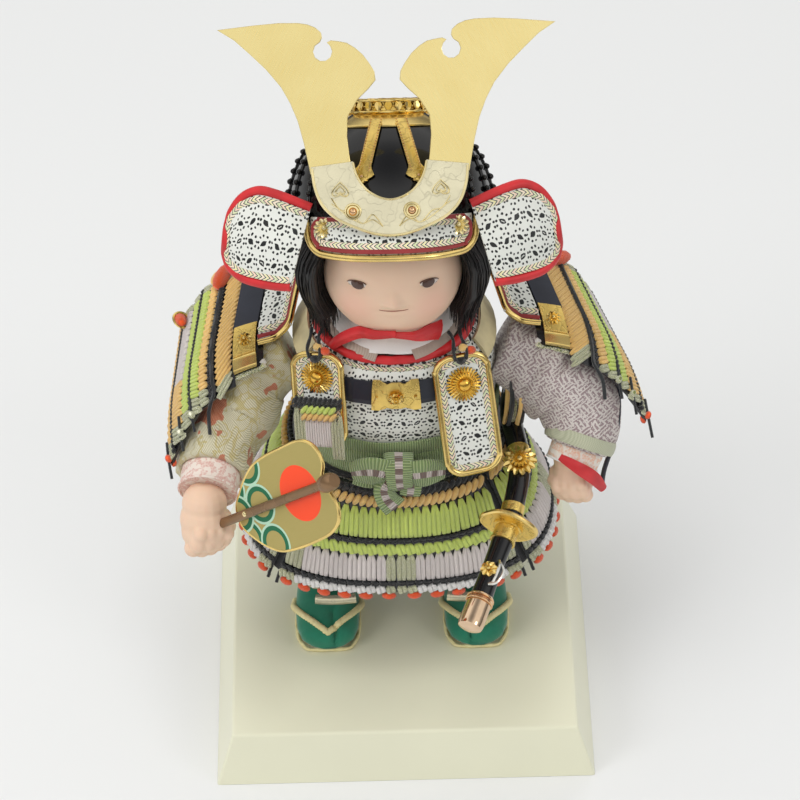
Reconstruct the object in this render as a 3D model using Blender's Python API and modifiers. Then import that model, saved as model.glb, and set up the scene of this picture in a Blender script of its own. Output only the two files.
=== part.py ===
# Samurai doll on a lacquered stand.
# Metres, +Z up, the doll faces -Y. Right and left are the doll's own, so its right is at -X.
# The origin is the middle of the stand's underside.
import math

import bmesh
import bpy
from mathutils import Matrix, Vector

# Fits
GAP = 0.0003                     # clearance between neighbouring pieces
RIGHT = -1
LEFT = 1
SIDES = ((RIGHT, "right"), (LEFT, "left"))

# Stand
STAND_W = 0.200
STAND_D = 0.200
STAND_H = 0.028
STAND_INSET = 0.009
STAND_EDGE = 0.0012

# Body line and its cross sections: height, half width, half depth of the cuirass outside
BODY_Y = 0.020
BODY_POWER = 2.2
BODY_SPANS = 32                  # spans round the body; all that lies on it shares them
BODY = ((0.1180, 0.0440, 0.0400), (0.1400, 0.0470, 0.0430), (0.1600, 0.0500, 0.0462),
        (0.1850, 0.0530, 0.0480), (0.2050, 0.0520, 0.0470), (0.2150, 0.0490, 0.0440),
        (0.2215, 0.0430, 0.0400), (0.2300, 0.0380, 0.0360))
CUIRASS_T = 0.0020
CUIRASS_FOOT = 0.1400
NECK_Z = 0.2215                  # neckline height at the front
NECK_RISE = 0.0060               # rise of the neckline from front to back
NECK_ROLL_R = 0.0018
TORSO_FOOT = 0.1180
BAND_LOW = 0.2025                # dark band across the chest
BAND_HIGH = 0.2150
BAND_T = 0.0010
BAND_SPANS = 5                   # spans of the body mesh each side of the middle
PLAQUE_T = 0.0015
PLAQUE_HALF = 0.0102
PLAQUE_WAIST = 0.55

# Sash
SASH_LOW = 0.1500
SASH_HIGH = 0.1776
SASH_T = 0.0040

# Skirt
SKIRT_TOP = SASH_LOW - 0.0010
SKIRT_TOP_A = 0.0560
SKIRT_TOP_B = 0.0535
SKIRT_HEM = 0.0858
SKIRT_HEM_A = 0.0860
SKIRT_HEM_B = 0.0700
SKIRT_T = 0.0035
SKIRT_POWER_TOP = 2.2
SKIRT_POWER_HEM = 2.6
SKIRT_ROWS = 5
SKIRT_STEP = 0.0010
FRONT_TURN = 45.5
SIDE_FROM = 51.0
SIDE_TO = 130.0
BACK_FROM = 136.0

# Legs and feet
FOOT_X = 0.040
LEG_Y = 0.012
LEG_TOP_X = 0.028
LEG_TOP_Y = 0.018
LEG_R = 0.0155
LEG_FOOT = 0.0590
SOLE_T = 0.0020
ANKLE_R = 0.0140
SHIN_T = 0.0012
SHIN_LOW = 0.0490
SHIN_HIGH = 0.0980
SHIN_TURN = 38.0
STRAP_R = 0.0013
# distance along the foot, half width, height of the boot over the sole
BOOT = ((-0.0315, 0.0050, 0.0045), (-0.0305, 0.0095, 0.0075), (-0.0270, 0.0140, 0.0105),
        (-0.0200, 0.0165, 0.0130), (-0.0100, 0.0172, 0.0150), (0.0020, 0.0168, 0.0180),
        (0.0140, 0.0156, 0.0200), (0.0240, 0.0138, 0.0190), (0.0310, 0.0095, 0.0140),
        (0.0330, 0.0050, 0.0070))

# Head
HEAD_C = (0.0, 0.0060, 0.2680)
HEAD_R = (0.0355, 0.0340, 0.0370)
NECK_R = 0.0130
CORD_R = 0.0020
HAIR_THICK = 0.0125              # side lock, across the head
HAIR_TOP_THICK = 0.0115

# Helmet, in its own frame: x across, y back, z along the bowl's axis
HELMET_C = (0.0, 0.0220, 0.2916)
HELMET_TILT = -37.0
BOWL_R = 0.0515
DRAWN = BOWL_R / 0.0515          # the helmet's outlines are drawn for a bowl of this radius
BOWL_T = 0.0018
BOWL_FOOT = -0.0080 * DRAWN
TOP_BAND_R = 0.0203 * DRAWN
HAIR_TOP = HELMET_C[2] - 0.0026   # top of a side lock, tucked under the bowl's edge
HAIR_TOP_X = 0.0425 * DRAWN
TOP_BAND_T = 0.0015
TOP_BAND_H = 0.0062
STRIP_T = 0.0010
HOLDER_T = 0.0014
HOLDER_Y = -0.0589 * DRAWN
HOLDER_BEND = 2.5 / DRAWN
HORN_T = 0.0012
VISOR_T = 0.0016
VISOR_RIM_R = 0.0017
TURNBACK_T = 0.0018
GUARD_T = 0.0020

# Horn outline, millimetres, in the helmet's frame
HORN = ((18.3, 19.0), (19.6, 28.0), (20.5, 37.5), (19.9, 46.9), (14.9, 55.0), (9.5, 60.0),
        (5.7, 64.3), (6.2, 68.5), (8.5, 72.5), (11.8, 77.0), (15.5, 80.3), (19.5, 82.8),
        (23.6, 83.7), (27.2, 84.2), (29.3, 83.2), (27.6, 81.4), (26.7, 78.8), (27.6, 76.0),
        (30.0, 74.3), (32.8, 74.3), (35.3, 76.0), (36.2, 78.8), (35.2, 81.6), (32.6, 83.4),
        (31.6, 85.4), (32.0, 88.0), (34.8, 90.6), (38.6, 92.2), (43.3, 93.0), (53.0, 93.2),
        (65.0, 92.4), (83.5, 90.6), (75.0, 85.2), (67.4, 78.2), (59.5, 70.5), (52.5, 61.9),
        (48.2, 54.0), (44.7, 45.2), (42.0, 34.5), (40.0, 24.0), (39.0, 19.0))

# Fan, in its own frame: a along the handle, b across it, millimetres
FAN_C = (-0.0489, -0.0780, 0.1899)
FAN_ALONG = (0.629, -0.397, 0.669)
FAN_ACROSS = (-0.345, 0.629, 0.699)
FAN_T = 0.0016
FAN = ((19.0, -1.0), (19.2, 4.5), (22.6, 9.0), (23.4, 14.0), (21.0, 20.0), (15.5, 23.8),
       (8.0, 25.0), (-3.0, 24.6), (-16.0, 23.8), (-28.0, 21.6), (-38.0, 16.5), (-46.0, 10.5),
       (-51.5, 5.5), (-53.4, 0.0), (-52.6, -6.5), (-46.0, -14.5), (-38.0, -20.8),
       (-29.2, -24.4), (-16.0, -25.4), (-3.0, -25.2), (8.0, -24.2), (15.5, -21.6),
       (19.8, -17.5), (21.6, -12.0), (20.4, -6.5))
FAN_STICK_R = 0.0024
FAN_STICK_FROM = -0.0720
FAN_STICK_TO = 0.0230
FAN_KNOB_R = 0.0040
FAN_KNOB_L = 0.0075

# Hands and sleeves, right then left
HAND_C = {RIGHT: (-0.1001, -0.0500, 0.1412), LEFT: (0.0911, -0.0195, 0.1368)}
HAND_R = {RIGHT: (0.0162, 0.0160, 0.0155), LEFT: (0.0138, 0.0135, 0.0135)}
SLEEVE = {RIGHT: ((-0.0537, 0.020, 0.1990, 0.0180), (-0.0740, 0.016, 0.1890, 0.0215),
                  (-0.0870, 0.002, 0.1720, 0.0252), (-0.0940, -0.016, 0.1640, 0.0220),
                  (-0.0965, -0.0290, 0.1600, 0.0185)),
          LEFT: ((0.0537, 0.020, 0.1990, 0.0180), (0.0740, 0.016, 0.1890, 0.0208),
                 (0.0920, 0.006, 0.1770, 0.0237), (0.0960, -0.006, 0.1640, 0.0205),
                 (0.0935, -0.0125, 0.1560, 0.0165))}
CUFF_R = {RIGHT: 0.0150, LEFT: 0.0136}
CUFF_L = {RIGHT: 0.0150, LEFT: 0.0100}

# Sword
SWORD_C = (0.0561, -0.0550, 0.1415)
SWORD_AXIS = (-0.353, -0.892, -0.289)
SWORD_GUARD_A = 0.0145
SWORD_GUARD_B = 0.0125
SWORD_GUARD_T = 0.0024
SWORD_COLLAR_R = 0.0062
SWORD_COLLAR_L = 0.0090
SWORD_GRIP_R = 0.0056
SWORD_GRIP_L = 0.0330
SWORD_POMMEL_R = 0.0064
SWORD_POMMEL_L = 0.0195
SCABBARD_R = 0.0056
SCABBARD = ((0.0631, -0.0225, 0.1520), (0.0598, 0.0150, 0.1566), (0.0640, 0.0500, 0.1520),
            (0.0700, 0.0880, 0.1400))
FLOWER_R = 0.0088
FLOWER_T = 0.0036

# Shoulder guards: inner back, inner front, outer back, outer front corners
GUARD = {RIGHT: ((-0.0500, 0.060, 0.2260), (-0.0620, -0.002, 0.2100),
                 (-0.1100, 0.056, 0.1860), (-0.1185, -0.030, 0.1710)),
         LEFT: ((0.0500, 0.060, 0.2294), (0.0680, 0.006, 0.2114),
                (0.1030, 0.060, 0.1924), (0.1310, -0.012, 0.1764))}
GUARD_BULGE = 0.0130
LAME_T = 0.0036
LAME_FROM = 0.11
PLATE_T = 0.0015
PLATE_FROM = -0.14
PLATE_TO = 0.145
PLATE_FRONT = 0.77
FITTING_TO = 0.30
FITTING_BACK, FITTING_FRONT = 0.60, 0.93
FITTING_T = 0.0022
STRAP_T = 0.0016                 # leather strap over the shoulder
STRAP_OUT = 0.0016


def clear_scene():
    for thing in list(bpy.data.objects):
        bpy.data.objects.remove(thing, do_unlink=True)


clear_scene()
DOLL = bpy.data.collections.new("samurai_doll")
CUTTERS = bpy.data.collections.new("cutters")
bpy.context.scene.collection.children.link(DOLL)
bpy.context.scene.collection.children.link(CUTTERS)


def material(name, colour, rough, metal=0.0):
    found = bpy.data.materials.get(name)
    if found:
        return found
    made = bpy.data.materials.new(name)
    made.use_nodes = True
    surface = made.node_tree.nodes["Principled BSDF"]
    surface.inputs["Base Color"].default_value = (colour[0], colour[1], colour[2], 1.0)
    surface.inputs["Roughness"].default_value = rough
    surface.inputs["Metallic"].default_value = metal
    return made


LACQUER = material("stand_lacquer", (0.76, 0.75, 0.55), 0.15)
BOOT_GREEN = material("boot_suede", (0.01, 0.18, 0.10), 0.7)
STRAW = material("sandal_straw", (0.70, 0.62, 0.28), 0.7)
GOLD = material("gilt_metal", (0.72, 0.46, 0.13), 0.25, 1.0)
PALE_GOLD = material("pale_gilt_metal", (0.86, 0.72, 0.47), 0.28, 1.0)
TROUSERS = material("trouser_brocade", (0.05, 0.08, 0.20), 0.8)
BODY_CLOTH = material("body_cloth", (0.55, 0.50, 0.40), 0.9)
SPOTTED = material("spotted_leather", (0.72, 0.74, 0.70), 0.55)
RED = material("red_piping", (0.62, 0.02, 0.02), 0.45)
NAVY = material("navy_leather", (0.012, 0.015, 0.030), 0.45)
SASH_GREEN = material("sash_weave", (0.20, 0.33, 0.16), 0.8)
LACING = material("silk_lacing", (0.45, 0.62, 0.08), 0.8)
BROCADE = material("brocade", (0.62, 0.58, 0.48), 0.65)
MAUVE = material("key_print_cloth", (0.42, 0.36, 0.35), 0.8)
CUFF_CLOTH = material("cuff_cloth", (0.75, 0.45, 0.35), 0.8)
SKIN = material("doll_skin", (0.83, 0.58, 0.42), 0.45)
FAN_OLIVE = material("fan_paint", (0.42, 0.32, 0.08), 0.35, 0.6)
STICK_BROWN = material("stick_bronze", (0.22, 0.11, 0.04), 0.35, 0.7)
BLACK = material("black_lacquer", (0.004, 0.004, 0.005), 0.12)
HAIR = material("black_hair", (0.006, 0.005, 0.006), 0.5)
COLLAR_CLOTH = material("collar_cloth", (0.85, 0.84, 0.80), 0.8)
STRAP_LEATHER = material("cream_leather", (0.66, 0.58, 0.36), 0.7)


def keep(name, mesh, skin, smooth=40.0, where=None):
    """One closed piece, faces out, with its own material."""
    bm = bmesh.new()
    bm.from_mesh(mesh)
    bmesh.ops.remove_doubles(bm, verts=bm.verts, dist=0.00002)
    bmesh.ops.recalc_face_normals(bm, faces=bm.faces)
    bm.to_mesh(mesh)
    bm.free()
    mesh.materials.clear()
    mesh.materials.append(skin)
    mesh.shade_smooth()
    mesh.set_sharp_from_angle(angle=math.radians(smooth))
    thing = bpy.data.objects.new(name, mesh)
    if where is not None:
        thing.matrix_world = where
    DOLL.objects.link(thing)
    return thing


def loft(name, rings, closed_ends=True):
    """Skin over rings of equally many points; the ends are fans round a middle point."""
    mesh = bpy.data.meshes.new(name)
    points = [Vector(p) for ring in rings for p in ring]
    count = len(rings[0])
    faces = []
    for row in range(len(rings) - 1):
        for i in range(count):
            j = (i + 1) % count
            a = row * count
            faces.append((a + i, a + j, a + count + j, a + count + i))
    if closed_ends:
        for row in (0, len(rings) - 1):
            middle = sum((Vector(p) for p in rings[row]), Vector()) / count
            points.append(middle)
            for i in range(count):
                j = (i + 1) % count
                faces.append((row * count + i, row * count + j, len(points) - 1))
    mesh.from_pydata(points, [], faces)
    mesh.update()
    return mesh


def sheet(name, rows, thickness, wrap=False):
    """A grid of points given body by Solidify, the given face kept as the inner one."""
    mesh = bpy.data.meshes.new(name)
    points = [Vector(p) for row in rows for p in row]
    count = len(rows[0])
    faces = []
    for r in range(len(rows) - 1):
        for i in range(count if wrap else count - 1):
            j = (i + 1) % count
            faces.append((r * count + i, r * count + j, (r + 1) * count + j, (r + 1) * count + i))
    mesh.from_pydata(points, [], faces)
    mesh.update()
    holder = bpy.data.objects.new(name + "_sheet", mesh)
    bpy.context.scene.collection.objects.link(holder)
    solid = holder.modifiers.new("body", "SOLIDIFY")
    solid.thickness = thickness
    solid.offset = 1.0
    solid.use_even_offset = True
    return baked(holder, name)


def baked(holder, name):
    graph = bpy.context.evaluated_depsgraph_get()
    mesh = bpy.data.meshes.new_from_object(holder.evaluated_get(graph), depsgraph=graph)
    mesh.name = name
    bpy.data.objects.remove(holder, do_unlink=True)
    return mesh


def tube(name, points, radius, cyclic=False, around=2):
    """A round rod along a line of points."""
    line = bpy.data.curves.new(name, "CURVE")
    line.dimensions = "3D"
    line.bevel_depth = radius
    line.bevel_resolution = around
    line.use_fill_caps = not cyclic
    spline = line.splines.new("POLY")
    spline.points.add(len(points) - 1)
    for slot, p in zip(spline.points, points):
        slot.co = (p[0], p[1], p[2], 1.0)
    spline.use_cyclic_u = cyclic
    holder = bpy.data.objects.new(name + "_line", line)
    bpy.context.scene.collection.objects.link(holder)
    mesh = baked(holder, name)
    bm = bmesh.new()
    bm.from_mesh(mesh)
    bmesh.ops.remove_doubles(bm, verts=bm.verts, dist=0.00002)
    bmesh.ops.holes_fill(bm, edges=bm.edges, sides=0)
    bm.to_mesh(mesh)
    bm.free()
    return mesh


def flat_plate(name, outline_mm, thickness, mirror=1):
    """A plate from a drawn outline, in its own x and z, standing from y=0 to y=thickness."""
    shape = bpy.data.curves.new(name, "CURVE")
    shape.dimensions = "2D"
    shape.fill_mode = "BOTH"
    shape.extrude = thickness / 2
    spline = shape.splines.new("POLY")
    spline.points.add(len(outline_mm) - 1)
    for slot, p in zip(spline.points, outline_mm):
        slot.co = (mirror * p[0] / 1000, p[1] / 1000, 0.0, 1.0)
    spline.use_cyclic_u = True
    holder = bpy.data.objects.new(name + "_outline", shape)
    bpy.context.scene.collection.objects.link(holder)
    mesh = baked(holder, name)
    mesh.transform(Matrix.Translation((0, thickness / 2, 0)) @ Matrix.Rotation(math.radians(90), 4, "X"))
    return mesh


def cut(target, cutter, kind):
    step = target.modifiers.new(kind.lower(), "BOOLEAN")
    step.operation = kind
    step.solver = "EXACT"
    step.object = cutter


def cutter(name, mesh, where=None):
    thing = bpy.data.objects.new(name, mesh)
    if where is not None:
        thing.matrix_world = where
    CUTTERS.objects.link(thing)
    thing.hide_render = True
    thing.display_type = "WIRE"
    return thing


def ball(name, radii, across=28, down=16):
    mesh = bpy.data.meshes.new(name)
    bm = bmesh.new()
    bmesh.ops.create_uvsphere(bm, u_segments=across, v_segments=down, radius=1.0)
    bmesh.ops.scale(bm, vec=Vector(radii), verts=bm.verts)
    bm.to_mesh(mesh)
    bm.free()
    return mesh


def spin_solid(name, profile, steps=40):
    """Screw a closed or axis-ended profile of (radius, height) round the z axis."""
    mesh = bpy.data.meshes.new(name)
    mesh.from_pydata([(r, 0.0, h) for r, h in profile], [(i, i + 1) for i in range(len(profile) - 1)], [])
    holder = bpy.data.objects.new(name + "_profile", mesh)
    bpy.context.scene.collection.objects.link(holder)
    turn = holder.modifiers.new("turn", "SCREW")
    turn.steps = steps
    turn.render_steps = steps
    turn.use_merge_vertices = True
    turn.merge_threshold = 0.00002
    return baked(holder, name)


def aim(direction, at=(0, 0, 0)):
    """A frame whose z axis runs along the direction."""
    turn = Vector(direction).normalized().to_track_quat("Z", "Y").to_matrix().to_4x4()
    return Matrix.Translation(Vector(at)) @ turn


def power(value, exponent):
    return math.copysign(abs(value) ** exponent, value)


def oval(cx, cy, z, a, b, exponent=2.0, count=32):
    ring = []
    for i in range(count):
        turn = 2 * math.pi * i / count
        x = cx + a * power(math.sin(turn), 2 / exponent)
        y = cy - b * power(math.cos(turn), 2 / exponent)
        ring.append((x, y, z))
    return ring


# The body surface
def body_size(z):
    rows = BODY
    if z <= rows[0][0]:
        return rows[0][1], rows[0][2]
    for low, high in zip(rows, rows[1:]):
        if z <= high[0]:
            t = (z - low[0]) / (high[0] - low[0])
            return low[1] + t * (high[1] - low[1]), low[2] + t * (high[2] - low[2])
    return rows[-1][1], rows[-1][2]


def body_point(turn, z, out):
    a, b = body_size(z)
    x = (a + out) * power(math.sin(turn), 2 / BODY_POWER)
    y = BODY_Y - (b + out) * power(math.cos(turn), 2 / BODY_POWER)
    return (x, y, z)


def neckline(turn):
    return NECK_Z + NECK_RISE * (1 - math.cos(turn)) / 2


def body_levels(low, high):
    """Heights from low to high with the body's own section heights between."""
    return [low] + [row[0] for row in BODY if low + 0.001 < row[0] < high - 0.001] + [high]


def spread(first, last, count):
    return [first + (last - first) * i / (count - 1) for i in range(count)]


def full_turn(count):
    return [2 * math.pi * i / count for i in range(count)]


# Stand
def build_stand():
    mesh = bpy.data.meshes.new("stand_base")
    bm = bmesh.new()
    bmesh.ops.create_cube(bm, size=1.0)
    for vert in bm.verts:
        inset = STAND_INSET if vert.co.z > 0 else 0.0
        vert.co.x = math.copysign(STAND_W / 2 - inset, vert.co.x)
        vert.co.y = math.copysign(STAND_D / 2 - inset, vert.co.y)
        vert.co.z = STAND_H if vert.co.z > 0 else 0.0
    top = [e for e in bm.edges if max(v.co.z for v in e.verts) > STAND_H / 2]
    bmesh.ops.bevel(bm, geom=top, offset=STAND_EDGE, segments=2, affect="EDGES", profile=0.5)
    bm.to_mesh(mesh)
    bm.free()
    keep("stand_base", mesh, LACQUER, 50)


build_stand()


# Feet and legs
SOLE_TOP = STAND_H + GAP + SOLE_T
BOOT_FOOT = SOLE_TOP + GAP


def boot_ring(side, station, out=0.0, count=16):
    """Section of the boot across the foot, flat underneath."""
    y, half, height = station
    ring = []
    for i in range(count):
        turn = 2 * math.pi * i / count
        x = side * FOOT_X + (half + out) * power(math.sin(turn), 0.8)
        lift = power(math.cos(turn), 0.8)
        if lift > 0:
            z = BOOT_FOOT + height * 0.36 + (height * 0.64 + out) * lift
        else:
            z = BOOT_FOOT + height * 0.36 * (1 + lift)
        ring.append((x, y, z))
    return ring


def boot_at(y):
    for low, high in zip(BOOT, BOOT[1:]):
        if y <= high[0]:
            t = (y - low[0]) / (high[0] - low[0])
            return (y, low[1] + t * (high[1] - low[1]), low[2] + t * (high[2] - low[2]))
    return BOOT[-1]


def build_foot(side, word):
    foot = keep("boot_" + word, loft("boot_" + word, [boot_ring(side, s) for s in BOOT]), BOOT_GREEN)
    low = BOOT_FOOT + 0.010
    rings = [oval(side * FOOT_X, LEG_Y, z, r, r, count=16)
             for z, r in ((low, ANKLE_R), (LEG_FOOT - GAP, ANKLE_R * 0.97))]
    shaft = cutter("ankle_" + word, loft("ankle_" + word, rings))
    cut(foot, shaft, "UNION")

    outline = []
    for s in BOOT[1:-1]:
        outline.append((1000 * (s[1] + 0.0006), 1000 * s[0]))
    for s in reversed(BOOT[1:-1]):
        outline.append((-1000 * (s[1] + 0.0006), 1000 * s[0]))
    sole_mesh = flat_plate("sole_" + word, outline, SOLE_T)
    sole_mesh.transform(Matrix.Rotation(math.radians(-90), 4, "X"))
    sole_mesh.transform(Matrix.Translation((side * FOOT_X, 0, STAND_H + GAP + SOLE_T)))
    low_z = min(v.co.z for v in sole_mesh.vertices)
    sole_mesh.transform(Matrix.Translation((0, 0, STAND_H + GAP - low_z)))
    sole = keep("sandal_" + word, sole_mesh, STRAW)
    path = []
    count = 17
    for i in range(count):
        across = -1 + 2 * i / (count - 1)
        y = 0.004 - 0.027 * (1 - abs(across)) ** 0.9
        station = boot_at(y)
        out = STRAP_R + GAP + 0.0004
        turn = across * math.radians(112)
        x = side * FOOT_X + (station[1] + out) * power(math.sin(turn), 0.8)
        lift = power(math.cos(turn), 0.8)
        tall = station[2]
        if lift > 0:
            z = BOOT_FOOT + tall * 0.36 + (tall * 0.64 + out) * lift
        else:
            z = BOOT_FOOT + tall * 0.36 * (1 + lift)
        path.append((x, y, z))
    first = (path[0][0] - 0.0002, path[0][1] + 0.001, STAND_H + GAP + SOLE_T * 0.6)
    last = (path[-1][0] + 0.0002, path[-1][1] + 0.001, STAND_H + GAP + SOLE_T * 0.6)
    strap = cutter("strap_" + word, tube("strap_" + word, [first] + path + [last], STRAP_R, around=1))
    cut(sole, strap, "UNION")

    rings = []
    for z, t in ((LEG_FOOT, 0.0), (0.075, 0.28), (0.095, 0.6), (TORSO_FOOT - GAP, 1.0)):
        x = side * (FOOT_X + t * (LEG_TOP_X - FOOT_X))
        y = LEG_Y + t * (LEG_TOP_Y - LEG_Y)
        rings.append(oval(x, y, z, LEG_R, LEG_R, count=20))
    keep("leg_" + word, loft("leg_" + word, rings), TROUSERS)

    rows = []
    for z in spread(SHIN_LOW, SHIN_HIGH, 5):
        t = max(0.0, (z - LEG_FOOT) / (TORSO_FOOT - GAP - LEG_FOOT))
        x = side * (FOOT_X + t * (LEG_TOP_X - FOOT_X))
        y = LEG_Y + t * (LEG_TOP_Y - LEG_Y)
        r = LEG_R + GAP + 0.0002
        row = []
        for turn in spread(-math.radians(SHIN_TURN), math.radians(SHIN_TURN), 9):
            row.append((x + r * math.sin(turn), y - r * math.cos(turn), z))
        rows.append(row)
    keep("shin_guard_" + word, sheet("shin_guard_" + word, rows, SHIN_T), GOLD)


for side, word in SIDES:
    build_foot(side, word)


# Torso, cuirass and what lies on it
def build_body():
    inner = -(CUIRASS_T + GAP)
    rings = []
    for z in body_levels(TORSO_FOOT, 0.2210):
        rings.append([body_point(t, z, inner) for t in full_turn(BODY_SPANS)])
    for z, r in ((0.2245, 0.0300), (0.2262, 0.0240)):
        rings.append(oval(0, BODY_Y - 0.004, z, r, r * 0.95, count=BODY_SPANS))
    keep("torso", loft("torso", rings), BODY_CLOTH)

    rows = [[body_point(t, z, -CUIRASS_T) for t in full_turn(BODY_SPANS)]
            for z in body_levels(CUIRASS_FOOT, 0.2150)]
    rows.append([body_point(t, neckline(t), -CUIRASS_T) for t in full_turn(BODY_SPANS)])
    keep("cuirass", sheet("cuirass", rows, CUIRASS_T, wrap=True), SPOTTED)

    roll = []
    for turn in full_turn(BODY_SPANS):
        z = neckline(turn) + NECK_ROLL_R + CUIRASS_T * 0.75
        x, y, _ = body_point(turn, neckline(turn), -CUIRASS_T / 2)
        roll.append((x, y, z))
    keep("neck_roll", tube("neck_roll", roll, NECK_ROLL_R, cyclic=True), RED)

    turns = [2 * math.pi * i / BODY_SPANS for i in range(-BAND_SPANS, BAND_SPANS + 1)]
    rows = [[body_point(t, z, GAP) for t in turns] for z in body_levels(BAND_LOW, BAND_HIGH)]
    keep("chest_band", sheet("chest_band", rows, BAND_T), NAVY)

    rows = []
    middle = (BAND_LOW + BAND_HIGH) / 2
    tall = (BAND_HIGH - BAND_LOW) / 2 + 0.0018
    for share in spread(-1.0, 1.0, 5):
        row = []
        for i in range(13):
            across = -1 + i / 6
            waist = PLAQUE_WAIST + (1 - PLAQUE_WAIST) * min(1.0, abs(across) * 1.5)
            if abs(across) < 0.3:
                waist = max(waist, 0.86)
            a, _ = body_size(middle)
            turn = math.asin(min(1.0, (PLAQUE_HALF * across / a)))
            row.append(body_point(turn, middle + tall * waist * share, GAP + BAND_T + 2 * GAP))
        rows.append(row)
    keep("chest_plaque", sheet("chest_plaque", rows, PLAQUE_T), GOLD)

    rows = [[body_point(t, z, GAP) for t in full_turn(BODY_SPANS)] for z in body_levels(SASH_LOW, SASH_HIGH)]
    keep("sash_band", sheet("sash_band", rows, SASH_T, wrap=True), SASH_GREEN, 60)


build_body()


def soft_box(name, size, where, bevel):
    mesh = bpy.data.meshes.new(name)
    bm = bmesh.new()
    bmesh.ops.create_cube(bm, size=1.0)
    bmesh.ops.scale(bm, vec=Vector(size), verts=bm.verts)
    bmesh.ops.bevel(bm, geom=list(bm.edges), offset=bevel, segments=1, affect="EDGES", profile=0.5)
    bmesh.ops.transform(bm, matrix=where, verts=bm.verts)
    bm.to_mesh(mesh)
    bm.free()
    return mesh


def build_knot():
    """The sash's knot, its two side folds and two tails, over the band's front."""
    a, b = body_size(0.162)
    front = BODY_Y - b - GAP - SASH_T - GAP
    knot_c = Vector((0.0005, front - 0.0036, 0.1625))
    knot = keep("sash_knot", soft_box("sash_knot", (0.011, 0.0066, 0.015), Matrix.Translation(knot_c), 0.002),
                SASH_GREEN, 60)
    parts = (((0.0230, 0.0044, 0.0130), (-0.0155, front - 0.0036, 0.1640), (10, 0)),
             ((0.0230, 0.0044, 0.0130), (0.0160, front - 0.0036, 0.1620), (-8, 0)),
             ((0.0120, 0.0040, 0.0240), (-0.0085, front - 0.0072, 0.1490), (28, -24)),
             ((0.0120, 0.0040, 0.0230), (0.0045, front - 0.0070, 0.1490), (-8, -24)))
    for i, (size, at, (roll, lean)) in enumerate(parts):
        where = Matrix.Translation(at) @ Matrix.Rotation(math.radians(roll), 4, "Y")
        where = where @ Matrix.Rotation(math.radians(lean), 4, "X")
        if i < 2:
            where = where @ Matrix.Rotation(math.radians(18 if i else -18), 4, "Z")
        fold = cutter("sash_fold_%d" % (i + 1), soft_box("sash_fold", size, where, 0.0014))
        cut(knot, fold, "UNION")


build_knot()


# Skirt
def skirt_point(turn, share, out):
    a = SKIRT_TOP_A + share * (SKIRT_HEM_A - SKIRT_TOP_A)
    b = SKIRT_TOP_B + share * (SKIRT_HEM_B - SKIRT_TOP_B)
    e = SKIRT_POWER_TOP + share * (SKIRT_POWER_HEM - SKIRT_POWER_TOP)
    x = (a - SKIRT_T + out) * power(math.sin(turn), 2 / e)
    y = BODY_Y - (b - SKIRT_T + out) * power(math.cos(turn), 2 / e)
    return (x, y, SKIRT_TOP + share * (SKIRT_HEM - SKIRT_TOP))


def build_panel(name, first, last, count):
    rows = []
    for row in range(SKIRT_ROWS):
        for part in (0.02, 0.98):
            share = (row + part) / SKIRT_ROWS
            out = SKIRT_STEP * (part - 0.5)
            rows.append([skirt_point(math.radians(t), share, out) for t in spread(first, last, count)])
    keep(name, sheet(name, list(reversed(rows)), SKIRT_T), LACING, 30)


build_panel("skirt_front", -FRONT_TURN, FRONT_TURN, 15)
build_panel("skirt_right", -SIDE_TO, -SIDE_FROM, 11)
build_panel("skirt_left", SIDE_FROM, SIDE_TO, 11)
build_panel("skirt_back", BACK_FROM, 360 - BACK_FROM, 13)


# Chest plates hanging from the shoulders
def hanging_plate(name, half, tall, at, yaw, lean, roll, boss_up, boss_r, thick):
    outline = []
    corner = half * 0.62
    for cx, cz, first in ((half - corner, tall / 2 - corner, 0), (-half + corner, tall / 2 - corner, 90),
                          (-half + corner, -tall / 2 + corner, 180), (half - corner, -tall / 2 + corner, 270)):
        for i in range(6):
            turn = math.radians(first + 18 * i)
            outline.append((1000 * (cx + corner * math.cos(turn)), 1000 * (cz + corner * math.sin(turn))))
    mesh = flat_plate(name, outline, thick)
    where = Matrix.Translation(at) @ Matrix.Rotation(math.radians(yaw), 4, "Z")
    where = where @ Matrix.Rotation(math.radians(lean), 4, "X") @ Matrix.Rotation(math.radians(roll), 4, "Y")
    plate = keep(name, mesh, GOLD, 30, where)
    dome = spin_solid(name + "_boss", ((0.0, 0.0022), (boss_r * 0.45, 0.0020), (boss_r, 0.0008),
                                       (boss_r, -0.0008), (0.0, -0.0008)), 24)
    facing = where @ Matrix.Translation((0, 0, boss_up)) @ Matrix.Rotation(math.radians(90), 4, "X")
    cut(plate, cutter(name + "_boss", dome, facing), "UNION")


hanging_plate("chest_plate_left", 0.0148, 0.0640, (0.0362, -0.0290, 0.1960), 16, -24, 0, 0.0165, 0.0080, 0.0020)
hanging_plate("chest_plate_right", 0.0138, 0.0500, (-0.0392, -0.0226, 0.2030), -22, -20, -10, 0.0085, 0.0072, 0.0020)


# Arms
def ring_along(points, index, radius, count=20):
    here = Vector(points[index][:3])
    before = Vector(points[max(index - 1, 0)][:3])
    after = Vector(points[min(index + 1, len(points) - 1)][:3])
    along = (after - before).normalized()
    if index == 0:
        along = Vector((math.copysign(1.0, points[0][0]), 0, 0))
    across = Vector((0, 1, 0)) - along * along.y
    across.normalize()
    up = along.cross(across)
    ring = []
    for i in range(count):
        turn = 2 * math.pi * i / count
        ring.append(here + radius * (math.cos(turn) * across + math.sin(turn) * up))
    return ring, along


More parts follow.
